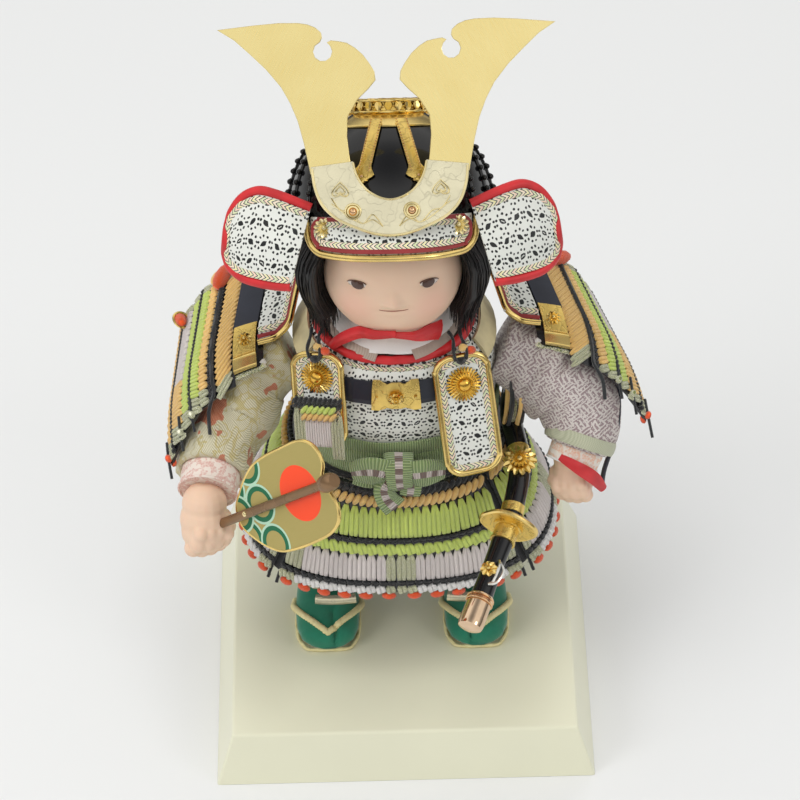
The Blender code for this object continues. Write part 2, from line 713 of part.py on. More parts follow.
def build_arm(side, word):
    stations = SLEEVE[side]
    outer = [ring_along(stations, i, s[3])[0] for i, s in enumerate(stations)]
    end, along = ring_along(stations, len(stations) - 1, stations[-1][3])
    mouth = [Vector(p) - along * 0.0040 for p in ring_along(stations, len(stations) - 1, CUFF_R[side] + GAP + 0.0003)[0]]
    lip = [Vector(p) for p in ring_along(stations, len(stations) - 1, CUFF_R[side] + GAP + 0.0003)[0]]
    keep("sleeve_" + word, loft("sleeve_" + word, outer + [lip, mouth]), BROCADE if side < 0 else MAUVE)

    hand_c = Vector(HAND_C[side])
    start = Vector(stations[-1][:3]) - along * 0.0035
    cuff = []
    for share, r in ((0.0, CUFF_R[side] * 0.9), (0.12, CUFF_R[side]), (1.0, CUFF_R[side])):
        station = [(start + along * (share * CUFF_L[side]))]
        across = Vector((0, 1, 0)) - along * along.y
        across.normalize()
        up = along.cross(across)
        cuff.append([station[0] + r * (math.cos(t) * across + math.sin(t) * up) for t in full_turn(20)])
    cuff_thing = keep("cuff_" + word, loft("cuff_" + word, cuff), CUFF_CLOTH)
    rx, ry, rz = HAND_R[side]
    room = cutter("hand_room_" + word, ball("hand_room_" + word, (rx + GAP, ry + GAP, rz + GAP), 20, 12),
                  Matrix.Translation(hand_c))
    cut(cuff_thing, room, "DIFFERENCE")
    hand = keep("hand_" + word, ball("hand_" + word, HAND_R[side], 20, 12), SKIN, 60, Matrix.Translation(hand_c))
    return hand


hands = {side: build_arm(side, word) for side, word in SIDES}


# Fan
def fan_frame():
    a = Vector(FAN_ALONG).normalized()
    b = Vector(FAN_ACROSS)
    b = (b - a * b.dot(a)).normalized()
    back = -(a.cross(b))
    turn = Matrix((a, back, b)).transposed().to_4x4()
    return Matrix.Translation(FAN_C) @ turn


def build_fan():
    frame = fan_frame()
    keep("fan_blade", flat_plate("fan_blade", FAN, FAN_T), FAN_OLIVE, 30, frame)
    lift = -(GAP + FAN_STICK_R)
    profile = ((0.0, FAN_STICK_FROM), (FAN_STICK_R, FAN_STICK_FROM), (FAN_STICK_R, FAN_STICK_TO),
               (FAN_KNOB_R * 0.9, FAN_STICK_TO + 0.0006), (FAN_KNOB_R, FAN_STICK_TO + 0.0020),
               (FAN_KNOB_R, FAN_STICK_TO + FAN_KNOB_L - 0.0015),
               (FAN_KNOB_R * 0.75, FAN_STICK_TO + FAN_KNOB_L), (0.0, FAN_STICK_TO + FAN_KNOB_L))
    stick = spin_solid("fan_handle", tuple(reversed(profile)), 20)
    along = Matrix.Translation((0, lift, 0)) @ Matrix.Rotation(math.radians(90), 4, "Y")
    keep("fan_handle", stick, STICK_BROWN, 40, frame @ along)
    room = spin_solid("stick_room", ((0.0, FAN_STICK_TO), (FAN_STICK_R + GAP, FAN_STICK_TO),
                                     (FAN_STICK_R + GAP, FAN_STICK_FROM - GAP), (0.0, FAN_STICK_FROM - GAP)), 20)
    cut(hands[RIGHT], cutter("stick_room", room, frame @ along), "DIFFERENCE")


build_fan()


# Sword
def build_sword():
    frame = aim(SWORD_AXIS, SWORD_C)
    half = SWORD_GUARD_T / 2
    rings = []
    for z, s in ((-half, 0.97), (-half * 0.5, 1.0), (half * 0.5, 1.0), (half, 0.97)):
        rings.append(oval(0, 0, z, SWORD_GUARD_A * s, SWORD_GUARD_B * s, 2.3, 28))
    guard = keep("sword_guard", loft("sword_guard", rings), GOLD, 40, frame)
    collar = spin_solid("collar", ((0.0, half + SWORD_COLLAR_L), (SWORD_COLLAR_R, half + SWORD_COLLAR_L),
                                   (SWORD_COLLAR_R, 0.0), (0.0, 0.0)), 28)
    cut(guard, cutter("sword_collar", collar, frame), "UNION")
    z = half + SWORD_COLLAR_L + GAP
    grip = spin_solid("sword_grip", ((0.0, z + SWORD_GRIP_L), (SWORD_GRIP_R, z + SWORD_GRIP_L),
                                     (SWORD_GRIP_R * 0.94, z + SWORD_GRIP_L / 2),
                                     (SWORD_GRIP_R, z), (0.0, z)), 24)
    keep("sword_grip", grip, BLACK, 40, frame)
    z = z + SWORD_GRIP_L + GAP
    top = z + SWORD_POMMEL_L
    pommel = spin_solid("sword_pommel", ((0.0, top), (SWORD_POMMEL_R * 0.72, top), (SWORD_POMMEL_R, top - 0.002),
                                         (SWORD_POMMEL_R, z), (0.0, z)), 24)
    keep("sword_pommel", pommel, PALE_GOLD, 40, frame)

    begin = Vector(SWORD_C) - Vector(SWORD_AXIS).normalized() * (half + GAP + 0.0002)
    points = [begin] + [Vector(p) for p in SCABBARD]
    line = []
    for i in range(len(points) - 1):
        p0 = points[max(i - 1, 0)]
        p1 = points[i]
        p2 = points[i + 1]
        p3 = points[min(i + 2, len(points) - 1)]
        for k in range(4):
            t = k / 4
            line.append(0.5 * (2 * p1 + (p2 - p0) * t + (2 * p0 - 5 * p1 + 4 * p2 - p3) * t * t
                               + (3 * p1 - p0 - 3 * p2 + p3) * t * t * t))
    line.append(points[-1])
    line[1] = begin - Vector(SWORD_AXIS).normalized() * (line[1] - line[0]).length
    keep("scabbard", tube("scabbard", line, SCABBARD_R, around=2), BLACK, 60)
    seat = Vector(SCABBARD[0])
    up = Vector((-0.02, -0.27, 0.96)).normalized()
    flower = spin_solid("scabbard_flower", ((0.0, FLOWER_T), (FLOWER_R * 0.35, FLOWER_T), (FLOWER_R, FLOWER_T * 0.35),
                                            (FLOWER_R, 0.0), (0.0, 0.0)), 28)
    at = seat + up * (SCABBARD_R + GAP + 0.0005)
    keep("scabbard_flower", flower, GOLD, 40, aim(up, at))


build_sword()


# Head, hair, collar
def head_point(across, down, out):
    """A point on the face ellipsoid by direction, degrees across and down from the front."""
    d = Vector((math.sin(math.radians(across)) * math.cos(math.radians(down)),
                -math.cos(math.radians(across)) * math.cos(math.radians(down)), -math.sin(math.radians(down))))
    scale = 1 / math.sqrt(sum((d[i] / HEAD_R[i]) ** 2 for i in range(3)))
    return Vector(HEAD_C) + d * (scale + out)


def build_head():
    head = keep("head", ball("head", HEAD_R, 28, 16), SKIN, 60, Matrix.Translation(HEAD_C))
    neck = spin_solid("neck", ((0.0, HEAD_C[2]), (NECK_R, HEAD_C[2]), (NECK_R, 0.2265), (0.0, 0.2265)), 28)
    cut(head, cutter("neck", neck, Matrix.Translation((0, BODY_Y - 0.008, 0))), "UNION")

    rings = []
    for r, z in ((0.0300, 0.2267), (0.0235, 0.2330), (0.0215, 0.2330), (0.0190, 0.2267)):
        rings.append(oval(0, BODY_Y - 0.006, z, r, r * 0.96, count=32))
    rings.append(rings[0])
    keep("inner_collar", loft("inner_collar", rings, closed_ends=False), COLLAR_CLOTH, 40)

    cord = [head_point(a, 44, CORD_R + GAP + 0.0004) for a in spread(-62, 62, 19)]
    keep("chin_cord", tube("chin_cord", cord, CORD_R, around=2), RED)

    for side, word in SIDES:
        rings = [oval(side * HAIR_TOP_X, 0.0080, HAIR_TOP, HAIR_TOP_THICK / 2, 0.0130, 3.0, 20)]
        for z in (0.2850, 0.2760, 0.2660, 0.2560, 0.2450, 0.2340, 0.2315):
            rise = (z - HEAD_C[2]) / HEAD_R[2]
            near = HEAD_R[0] * math.sqrt(max(0.0, 1 - rise * rise))
            near = max(near, 0.0290) + 0.0010
            thick = HAIR_THICK
            if z < 0.232:
                thick = HAIR_THICK * 0.8
            mid = near + thick / 2
            rings.append(oval(side * mid, 0.0040, z, thick / 2, 0.0170, 3.0, 20))
        keep("side_hair_" + word, loft("side_hair_" + word, rings), HAIR, 50)


build_head()


# Helmet
HELMET = Matrix.Translation(HELMET_C) @ Matrix.Rotation(math.radians(HELMET_TILT), 4, "X")


def build_bowl():
    outer = []
    inner = []
    low = math.degrees(math.asin(BOWL_FOOT / BOWL_R))
    for t in spread(90.0, low, 9):
        outer.append((BOWL_R * math.cos(math.radians(t)), BOWL_R * math.sin(math.radians(t))))
    inside = BOWL_R - BOWL_T
    low_in = math.degrees(math.asin(BOWL_FOOT / inside))
    for t in spread(low_in, 90.0, 9):
        inner.append((inside * math.cos(math.radians(t)), inside * math.sin(math.radians(t))))
    outer[0] = (0.0, BOWL_R)
    inner[-1] = (0.0, inside)
    keep("helmet_bowl", spin_solid("helmet_bowl", outer + inner, 32), BLACK, 50, HELMET)

    r1 = TOP_BAND_R
    r0 = r1 - TOP_BAND_T
    z0 = math.sqrt((BOWL_R + GAP) ** 2 - r0 ** 2)
    band = spin_solid("bowl_band", ((r1, z0 + TOP_BAND_H), (r1, z0), (r0, z0), (r0, z0 + TOP_BAND_H),
                                    (r1, z0 + TOP_BAND_H)), 32)
    keep("bowl_band", band, GOLD, 40, HELMET)


build_bowl()


def bowl_front(x, z, out):
    r = BOWL_R + out
    return (x, -math.sqrt(max(0.0, r * r - x * x - z * z)), z)


def build_strip(side, word):
    """A tapered strip lying on the bowl's front, wider at its foot."""
    rows = []
    for share in spread(0.0, 1.0, 9):
        z = DRAWN * (0.0405 + share * (0.0135 - 0.0405))
        mid = side * DRAWN * (0.0080 + share * 0.0062)
        half = 0.0011 + 0.0011 * share
        if share > 0.8:
            half = 0.0022 * (1 - (share - 0.8) * 3.5)
        rows.append([bowl_front(mid + d * half, z, GAP + 0.0001) for d in (-1.0, 0.0, 1.0)])
    rows.reverse()
    keep("crest_strip_" + word, sheet("crest_strip_" + word, rows, STRIP_T), GOLD, 40, HELMET)


for side, word in SIDES:
    build_strip(side, word)


def holder_bend(x):
    return HOLDER_Y + HOLDER_BEND * x * x


def build_holder():
    """The U-shaped engraved plate that carries the horns."""
    outer = ((-38.5, 22.7), (-37.4, 13.0), (-34.0, 4.0), (-27.0, -3.0), (-17.2, -8.0), (-8.5, -11.0), (0.0, -12.0),
             (8.5, -11.0), (17.2, -8.0), (27.0, -3.0), (34.0, 4.0), (37.4, 13.0), (38.5, 22.7))
    inner = ((-17.8, 25.1), (-16.6, 20.0), (-14.6, 15.8), (-11.6, 11.8), (-8.2, 9.2), (-4.2, 7.3), (0.0, 6.6),
             (4.2, 7.3), (8.2, 9.2), (11.6, 11.8), (14.6, 15.8), (16.6, 20.0), (17.8, 25.1))
    rows = []
    for share in (0.0, 0.35, 0.7, 1.0):
        row = []
        for o, i in zip(outer, inner):
            x = DRAWN * (o[0] + share * (i[0] - o[0])) / 1000
            z = DRAWN * (o[1] + share * (i[1] - o[1])) / 1000
            row.append((x, holder_bend(x), z))
        rows.append(row)
    keep("horn_holder", sheet("horn_holder", rows, HOLDER_T), PALE_GOLD, 40, HELMET)


build_holder()


def build_horn(side, word):
    drawn = [(x * DRAWN, z * DRAWN) for x, z in HORN]
    mesh = flat_plate("horn_" + word, drawn, HORN_T, side)
    pivot = 0.0285 * DRAWN
    slope = 2 * HOLDER_BEND * pivot
    sweep = math.atan(slope)
    at = Matrix.Translation((side * pivot, holder_bend(pivot) + GAP + 0.0004, 0))
    back = at @ Matrix.Rotation(side * sweep, 4, "Z") @ Matrix.Translation((-side * pivot, 0, 0))
    keep("horn_" + word, mesh, PALE_GOLD, 40, HELMET @ back)


for side, word in SIDES:
    build_horn(side, word)


# Visor, in the helmet's frame
VISOR_TURN = 50.0
VISOR_TOP = -0.0030 * DRAWN
VISOR_TOP_R = BOWL_R + GAP + 0.0002


def visor_point(across, down, out=0.0):
    """across -1..1, down 0 at the bowl to 1 at the brim."""
    turn = math.radians(VISOR_TURN) * across
    top = Vector((VISOR_TOP_R * math.sin(turn), -VISOR_TOP_R * math.cos(turn), VISOR_TOP))
    low = DRAWN * Vector((0.0400 * math.sin(turn) / math.sin(math.radians(VISOR_TURN)),
                          -0.0350 - 0.0250 * math.cos(turn * 1.65), -0.0211 + 0.0040 * abs(across) ** 3))
    p = top + (low - top) * down
    lift = Vector((0, -1, 0.35)).normalized()
    return p + lift * (0.0006 * math.sin(math.pi * down) + out)


def build_visor():
    rows = []
    for down in spread(1.0, 0.0, 5):
        rows.append([visor_point(a, down) for a in spread(-1.0, 1.0, 15)])
    keep("visor", sheet("visor", rows, VISOR_T), SPOTTED, 40, HELMET)

    away = VISOR_RIM_R + GAP + 0.0012
    path = []
    for down in (0.15, 0.45, 0.75):
        p = visor_point(-1.0, down, VISOR_T / 2)
        path.append(p + Vector((-away, 0, 0)))
    for a in spread(-1.0, 1.0, 15):
        p = visor_point(a, 1.0, VISOR_T / 2)
        path.append(p + Vector((away * 0.7 * a, 0, -away)))
    for down in (0.75, 0.45, 0.15):
        p = visor_point(1.0, down, VISOR_T / 2)
        path.append(p + Vector((away, 0, 0)))
    keep("visor_rim", tube("visor_rim", path, VISOR_RIM_R, around=2), GOLD, 60, HELMET)


build_visor()


def turnback_point(side, across, down):
    """Outline points of the turned-back flap, inner edge to outer edge."""
    top = ((39.5, 2.0), (48.0, 5.8), (57.0, 9.4), (65.0, 11.0), (73.0, 7.8), (78.6, 0.5), (80.8, -6.5))
    low = ((50.5, -36.6), (57.0, -36.2), (63.5, -35.2), (70.5, -33.6), (76.5, -31.0), (80.8, -26.0), (82.4, -20.0))
    at = across * (len(top) - 1)
    i = min(int(at), len(top) - 2)
    t = at - i
    tx = top[i][0] + t * (top[i + 1][0] - top[i][0])
    tz = top[i][1] + t * (top[i + 1][1] - top[i][1])
    lx = low[i][0] + t * (low[i + 1][0] - low[i][0])
    lz = low[i][1] + t * (low[i + 1][1] - low[i][1])
    x = (tx + down * (lx - tx)) / 1000
    z = (tz + down * (lz - tz)) / 1000
    away = x - 0.0390
    y = -0.0374 + 9.0 * away * away - 0.0040 * math.sin(math.pi * down)
    return (side * x * DRAWN, y * DRAWN, z * DRAWN)


def build_turnback(side, word):
    rows = []
    for down in spread(1.0, 0.0, 5):
        row = [turnback_point(side, a, down) for a in spread(0.0, 1.0, 10)]
        if side < 0:
            row.reverse()
        rows.append(row)
    keep("turnback_" + word, sheet("turnback_" + word, rows, TURNBACK_T), SPOTTED, 40, HELMET)


for side, word in SIDES:
    build_turnback(side, word)


def build_neck_guard():
    rows = []
    for share in spread(1.0, 0.0, 4):
        z = BOWL_FOOT - GAP - 0.0002 - share * 0.0150
        r = BOWL_R - 0.0008 + share * 0.0090
        row = []
        for turn in spread(math.radians(82), math.radians(278), 25):
            row.append((r * math.sin(turn), -r * math.cos(turn), z))
        rows.append(row)
    keep("neck_guard", sheet("neck_guard", rows, GUARD_T), BLACK, 40, HELMET)


build_neck_guard()


# Shoulder guards
def guard_middle(side, inward, forward):
    ib, inf, ob, of = (Vector(p) for p in GUARD[side])
    back = ib + (ob - ib) * inward
    front = inf + (of - inf) * inward
    bend = GUARD_BULGE * math.sin(math.pi * min(1.0, max(0.0, inward)))
    drop = -0.0060 * max(0.0, forward - 0.6) ** 2 / 0.16
    return back + (front - back) * forward + Vector((side * 0.6, 0.0, 0.8)) * (bend + drop)


def guard_point(side, inward, forward, out=0.0):
    """inward 0 at the neck to 1 outside; forward 0 at the back to 1 in front."""
    here = guard_middle(side, inward, forward)
    across = guard_middle(side, inward + 0.01, forward) - guard_middle(side, inward - 0.01, forward)
    along = guard_middle(side, inward, forward + 0.01) - guard_middle(side, inward, forward - 0.01)
    normal = across.cross(along) * side
    if normal.z < 0:
        normal = -normal
    return here + normal.normalized() * out


def guard_sheet(name, side, s0, s1, t0, t1, out, thick, skin, across=9, along=9):
    rows = []
    for t in spread(t0, t1, along):
        row = [guard_point(side, s, t, out) for s in spread(s0, s1, across)]
        if side > 0:
            row.reverse()
        rows.append(row)
    keep(name, sheet(name, rows, thick), skin, 40)


def build_guard(side, word):
    guard_sheet("shoulder_lames_" + word, side, LAME_FROM, 1.0, 0.0, 1.0, 0.0, LAME_T, LACING, 10, 7)
    top = LAME_T + 2 * GAP
    guard_sheet("shoulder_plate_" + word, side, PLATE_FROM, PLATE_TO, 0.05, PLATE_FRONT, top, PLATE_T, SPOTTED, 5, 9)
    guard_sheet("shoulder_fitting_" + word, side, PLATE_TO + 0.012, FITTING_TO, FITTING_BACK, FITTING_FRONT, top,
                FITTING_T, GOLD, 4, 5)


for side, word in SIDES:
    build_guard(side, word)


def build_strap(side, word):
    """Leather strap from the back of the neckline over the shoulder to the chest."""
    rows = []
    for turn in spread(math.radians(62), math.radians(124), 9):
        row = []
        for share in (0.0, 0.5, 1.0):
            z = neckline(turn) - 0.0010 - share * 0.0110
            x, y, _ = body_point(turn, z, STRAP_OUT)
            row.append((side * x, y, z))
        if side < 0:
            row.reverse()
        rows.append(row)
    keep("shoulder_strap_" + word, sheet("shoulder_strap_" + word, rows, STRAP_T), STRAP_LEATHER, 40)


for side, word in SIDES:
    build_strap(side, word)
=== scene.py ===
# %% [markdown]
# A boy's-festival warrior doll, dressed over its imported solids.
# The CAD row is the fixed frame: every solid there has its true place and size. This file gives each
# piece its finish, and stands laced silk, cloth, hair and beaded ironwork in place of the plain solids.
# Metres, +Z up, the doll faces -Y. Right and left are the doll's own: its right is at -X.

# %% The frame
import random
from functools import partialmethod
from math import asin, copysign, cos, exp, pi, radians, sin, sqrt

import bmesh
import bpy
from mathutils import Matrix, Vector, noise


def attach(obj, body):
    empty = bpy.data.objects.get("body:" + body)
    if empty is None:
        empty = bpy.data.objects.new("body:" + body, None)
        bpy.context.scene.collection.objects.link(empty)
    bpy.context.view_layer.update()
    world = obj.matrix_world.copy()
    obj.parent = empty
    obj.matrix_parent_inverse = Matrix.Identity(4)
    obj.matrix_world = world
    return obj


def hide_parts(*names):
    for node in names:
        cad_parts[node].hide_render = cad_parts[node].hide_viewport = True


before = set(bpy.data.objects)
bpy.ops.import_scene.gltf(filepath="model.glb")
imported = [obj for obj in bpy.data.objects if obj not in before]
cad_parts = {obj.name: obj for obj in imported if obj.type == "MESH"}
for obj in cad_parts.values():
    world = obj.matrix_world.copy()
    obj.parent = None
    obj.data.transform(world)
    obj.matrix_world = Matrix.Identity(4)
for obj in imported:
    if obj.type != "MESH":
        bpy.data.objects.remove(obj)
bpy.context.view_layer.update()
RIGHT = -1
LEFT = 1
SIDES = ((RIGHT, "right"), (LEFT, "left"))


def placed(name, data):
    """A new object in the scene."""
    thing = bpy.data.objects.new(name, data)
    bpy.context.scene.collection.objects.link(thing)
    return thing


print("frame:", len(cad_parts), "solids")

# %% [markdown]
# The camera stands where the photographer's did: in front, 42 degrees up, on a long lens, leaning a little.
# A long lens keeps near and far parts almost the same size, which is how a shop photographs a doll.

# %% Camera
CAMERA_UP = radians(42)
CAMERA_LEAN = radians(1.5)
CAMERA_AT = Vector((0.00196, -1.53887, 1.56625))
level = Vector((1, 0, 0))
rise = Vector((0, sin(CAMERA_UP), cos(CAMERA_UP)))
behind = Vector((0, -cos(CAMERA_UP), sin(CAMERA_UP)))
side_axis = level * cos(CAMERA_LEAN) - rise * sin(CAMERA_LEAN)
up_axis = level * sin(CAMERA_LEAN) + rise * cos(CAMERA_LEAN)
lens = bpy.data.cameras.new("camera")
lens.lens = 180
lens.sensor_width = 36
camera = placed("camera", lens)
turn = Matrix((side_axis, up_axis, behind)).transposed().to_4x4()
camera.matrix_world = Matrix.Translation(CAMERA_AT) @ turn
bpy.context.scene.camera = camera
print("camera", [round(x, 3) for x in CAMERA_AT])

# %% [markdown]
# Shader maths reads best as plain expressions. One small class wraps a socket, so that `a * 2 + b` adds the
# Math nodes, and a Graph adds any other node. Geometry trees take the same nodes, so both kinds use it.

# %% Wires and graphs
class Wire:
    """A socket with Python's operators; each one adds a Math node."""

    def __init__(self, graph, socket):
        self.graph = graph
        self.socket = socket

    def math(self, operation, *others, swap=False):
        values = [self, *others]
        if swap:
            values.reverse()
        return self.graph.add("ShaderNodeMath", {"operation": operation}, dict(enumerate(values)))

    def __rsub__(self, other):
        return self.math("SUBTRACT", other, swap=True)

    def step(self, low, high):
        """0 below low and 1 above high, with a soft change between."""
        return self.graph.add("ShaderNodeMapRange", {"interpolation_type": "SMOOTHSTEP"},
                              {0: self, 1: low, 2: high, 3: 0.0, 4: 1.0})


MATHS = {"__add__": "ADD", "__radd__": "ADD", "__sub__": "SUBTRACT", "__mul__": "MULTIPLY",
         "__rmul__": "MULTIPLY",
         "__truediv__": "DIVIDE", "__mod__": "FLOORED_MODULO", "__lt__": "LESS_THAN",
         "__gt__": "GREATER_THAN",
         "__abs__": "ABSOLUTE", "floor": "FLOOR", "sin": "SINE", "root": "SQRT", "most": "MAXIMUM",
         "angle": "ARCTAN2"}
for name, operation in MATHS.items():
    setattr(Wire, name, partialmethod(Wire.math, operation))


class Graph:
    """Adds nodes to a tree: a type, its settings, and the values or links of its sockets."""

    def __init__(self, tree):
        self.tree = tree

    def add(self, kind, settings=None, values=None, out=0):
        node = self.tree.nodes.new(kind)
        for key, value in (settings or {}).items():
            if key == "stops":
                fill_ramp(node.color_ramp, value)
            else:
                setattr(node, key, value)
        for key, value in (values or {}).items():
            self.feed(node.inputs[key], value)
        return Wire(self, node.outputs[out])

    def feed(self, socket, value):
        if isinstance(value, Wire):
            self.tree.links.new(value.socket, socket)
        else:
            socket.default_value = value


def fill_ramp(ramp, stops):
    while len(ramp.elements) < len(stops):
        ramp.elements.new(1.0)
    for element, (place, colour) in zip(ramp.elements, stops):
        element.position = place
        element.color = (*colour, 1.0)


# %% [markdown]
# Every finish is a Principled surface, which renders about as its colour is written. Paint is a Graph with
# the few moves that all finishes share: coordinates, noise, colour mixing, ramps and bump.

# %% Paint
MM = 1000.0


class Paint(Graph):
    """A material under construction."""

    def __init__(self, name, rough=0.5, metal=0.0, **constants):
        self.material = bpy.data.materials.new(name)
        self.material.use_nodes = True
        super().__init__(self.material.node_tree)
        self.surface = self.tree.nodes["Principled BSDF"]
        self.surface.inputs["Roughness"].default_value = rough
        self.surface.inputs["Metallic"].default_value = metal
        for key, value in constants.items():
            self.surface.inputs[key.replace("_", " ").title().replace("Ior", "IOR")].default_value = value

    def place(self, turned=None, origin=None):
        """x, y and z on the object in millimetres, turned into a piece's own frame where asked."""
        at = self.add("ShaderNodeTexCoord", out=3)
        if origin is not None:
            at = self.add("ShaderNodeVectorMath", {"operation": "SUBTRACT"}, {0: at, 1: origin})
        if turned is not None:
            at = self.add("ShaderNodeVectorRotate", {"rotation_type": "EULER_XYZ"},
                          {"Vector": at, "Rotation": turned})
        at = self.add("ShaderNodeVectorMath", {"operation": "SCALE"}, {0: at, "Scale": MM})
        split = self.add("ShaderNodeSeparateXYZ", None, {0: at}).socket.node
        return [Wire(self, socket) for socket in split.outputs]

    def laid(self):
        """Across and along a strip or sheet, from its UV map, which is in centimetres."""
        at = self.add("ShaderNodeTexCoord", out=2)
        split = self.add("ShaderNodeSeparateXYZ", None, {0: at}).socket.node
        return Wire(self, split.outputs[0]), Wire(self, split.outputs[1])

    def flag(self, name):
        """A number kept on the mesh."""
        return self.add("ShaderNodeAttribute", {"attribute_name": name}, out=2)

    def vector(self, x, y, z=0.0):
        return self.add("ShaderNodeCombineXYZ", None, {0: x, 1: y, 2: z})

    def noise(self, scale, detail=2.0, at=None, rough=0.5):
        at = at or self.add("ShaderNodeTexCoord", out=3)
        return self.add("ShaderNodeTexNoise", None, {"Vector": at, "Scale": scale, "Detail": detail,
                                                     "Roughness": rough})

    def cells(self, scale, at=None, feature="F1", out=0):
        at = at or self.add("ShaderNodeTexCoord", out=3)
        return self.add("ShaderNodeTexVoronoi", {"feature": feature}, {"Vector": at, "Scale": scale},
                        out=out)

    def mix(self, share, a, b):
        a, b = [(*c, 1.0) if isinstance(c, tuple) else c for c in (a, b)]
        return self.add("ShaderNodeMix", {"data_type": "RGBA"}, {0: share, 6: a, 7: b}, out=2)

    def ramp(self, value, stops, sharp=False):
        made = self.add("ShaderNodeValToRGB", {"stops": stops}, {0: value})
        if sharp:
            made.socket.node.color_ramp.interpolation = "CONSTANT"
        return made

    def bump(self, height, depth_mm, strength=1.0):
        normal = self.add("ShaderNodeBump", None, {"Height": height, "Distance": depth_mm / MM,
                                                   "Strength": strength})
        self.feed(self.surface.inputs["Normal"], normal)

    def colour(self, value):
        self.feed(self.surface.inputs["Base Color"], (*value, 1.0) if isinstance(value, tuple) else value)

    def rough(self, value):
        self.feed(self.surface.inputs["Roughness"], value)

    def metal(self, value):
        self.feed(self.surface.inputs["Metallic"], value)


# %% [markdown]
# Sheets, strips, rods and twisted cords are grids of points wrapped round a path or a surface. Bits gathers
# such grids, each with its UV map in centimetres and a "tone" number that tells silk which dye it has.

# %% Bits of mesh
WELD = 0.000004                  # points this close are one point


class Bits:
    """Grids gathered into one mesh."""

    def __init__(self):
        self.points = []
        self.faces = []
        self.uvs = []
        self.tones = []
        self.slots = []

    def grid(self, rows, wrap=False, caps=False, tone=0.0, slot=0, flip=False):
        """Rows of points; UV runs across each row and along the rows by real length."""
        start = len(self.points)
        count = len(rows[0])
        across = [0.0]
        for i in range(count if wrap else count - 1):
            step = sum((r[(i + 1) % count] - r[i]).length for r in rows) / len(rows)
            across.append(across[-1] + step * 100)
        along = [0.0]
        for a, b in zip(rows, rows[1:]):
            along.append(along[-1] + sum((q - p).length for p, q in zip(a, b)) / count * 100)
        middle = across[-1] / 2
        for row in rows:
            self.points.extend(row)
        self.tones.extend([tone] * (len(rows) * count))
        for r in range(len(rows) - 1):
            for i in range(count if wrap else count - 1):
                j = (i + 1) % count
                a = start + r * count
                face = [a + i, a + j, a + count + j, a + count + i]
                uv = [(across[i] - middle, along[r]), (across[i + 1] - middle, along[r]),
                      (across[i + 1] - middle, along[r + 1]), (across[i] - middle, along[r + 1])]
                self.face(face, uv, slot, flip)
        if caps:
            first = [start + i for i in range(count)]
            last = [start + (len(rows) - 1) * count + i for i in range(count)]
            self.face(first[::-1], [(0.0, along[0])] * count, slot, flip)
            self.face(last, [(0.0, along[-1])] * count, slot, flip)
        return self

    def face(self, face, uv, slot, flip):
        self.faces.append(face[::-1] if flip else face)
        self.uvs.append(uv[::-1] if flip else uv)
        self.slots.append(slot)

    def make(self, name, paints, replaces=(), sharp=40.0, ride=True, slot=None):
        """One object at the origin, which rides on the doll."""
        mesh = bpy.data.meshes.new(name)
        mesh.from_pydata(self.points, [], self.faces)
        layer = mesh.uv_layers.new(name="UVMap")
        flat = [c for face in self.uvs for corner in face for c in corner]
        layer.data.foreach_set("uv", flat)
        mesh.attributes.new("tone", "FLOAT", "POINT").data.foreach_set("value", self.tones)
        for paint in paints if isinstance(paints, (list, tuple)) else [paints]:
            mesh.materials.append(paint.material)
        mesh.polygons.foreach_set("material_index", self.slots)
        bm = bmesh.new()
        bm.from_mesh(mesh)
        bmesh.ops.remove_doubles(bm, verts=bm.verts, dist=WELD)
        bmesh.ops.recalc_face_normals(bm, faces=bm.faces)
        bm.to_mesh(mesh)
        bm.free()
        mesh.shade_smooth()
        mesh.set_sharp_from_angle(angle=radians(sharp))
        thing = placed(name, mesh)
        return on_doll(thing, replaces, slot) if ride else thing


def on_doll(thing, replaces=(), slot=None):
    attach(thing, "root")
    nodes = [replaces] if isinstance(replaces, str) else list(replaces)
    if nodes:
        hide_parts(*nodes)
    return thing


def spread(first, last, count):
    return [first + (last - first) * i / (count - 1) for i in range(count)]


def around(count):
    """Even angles of one full turn."""
    return [2 * pi * k / count for k in range(count)]


def circle(count, radius, x, y, middle):
    return [middle + radius * (cos(a) * x + sin(a) * y) for a in around(count)]


def between(values, share):
    """A value part of the way along a list."""
    at = share * (len(values) - 1)
    k = min(int(at), len(values) - 2)
    return values[k] + (values[k + 1] - values[k]) * (at - k)


def outward(point, a, b):
    """The way straight out of a surface at (a, b)."""
    return (Vector(point(a, b, 0.01)) - Vector(point(a, b, 0.0))).normalized()


def smooth_path(points, count, closed=False):
    """Points at even steps on a smooth line through the given ones."""
    points = [Vector(p) for p in points]
    n = len(points)
    fine = []
    for i in range(n if closed else n - 1):
        if closed:
            p0, p1, p2, p3 = (points[(i + k) % n] for k in (-1, 0, 1, 2))
        else:
            p0, p1, p2, p3 = points[max(i - 1, 0)], points[i], points[i + 1], points[min(i + 2, n - 1)]
        for k in range(8):
            t = k / 8
            fine.append(0.5 * (2 * p1 + (p2 - p0) * t + (2 * p0 - 5 * p1 + 4 * p2 - p3) * t * t
                               + (3 * p1 - p0 - 3 * p2 + p3) * t * t * t))
    fine.append(points[0] if closed else points[-1])
    return even_steps(fine, count, closed)


def even_steps(points, count, closed=False):
    """The same line with a point at each even step."""
    reach = [0.0]
    for a, b in zip(points, points[1:]):
        reach.append(reach[-1] + (b - a).length)
    made = []
    k = 0
    for i in range(count):
        want = reach[-1] * i / (count if closed else count - 1)
        while k < len(reach) - 2 and reach[k + 1] < want:
            k += 1
        span = reach[k + 1] - reach[k] or 1.0
        made.append(points[k].lerp(points[k + 1], min(1.0, (want - reach[k]) / span)))
    return made


def line_length(path):
    return sum((b - a).length for a, b in zip(path, path[1:]))


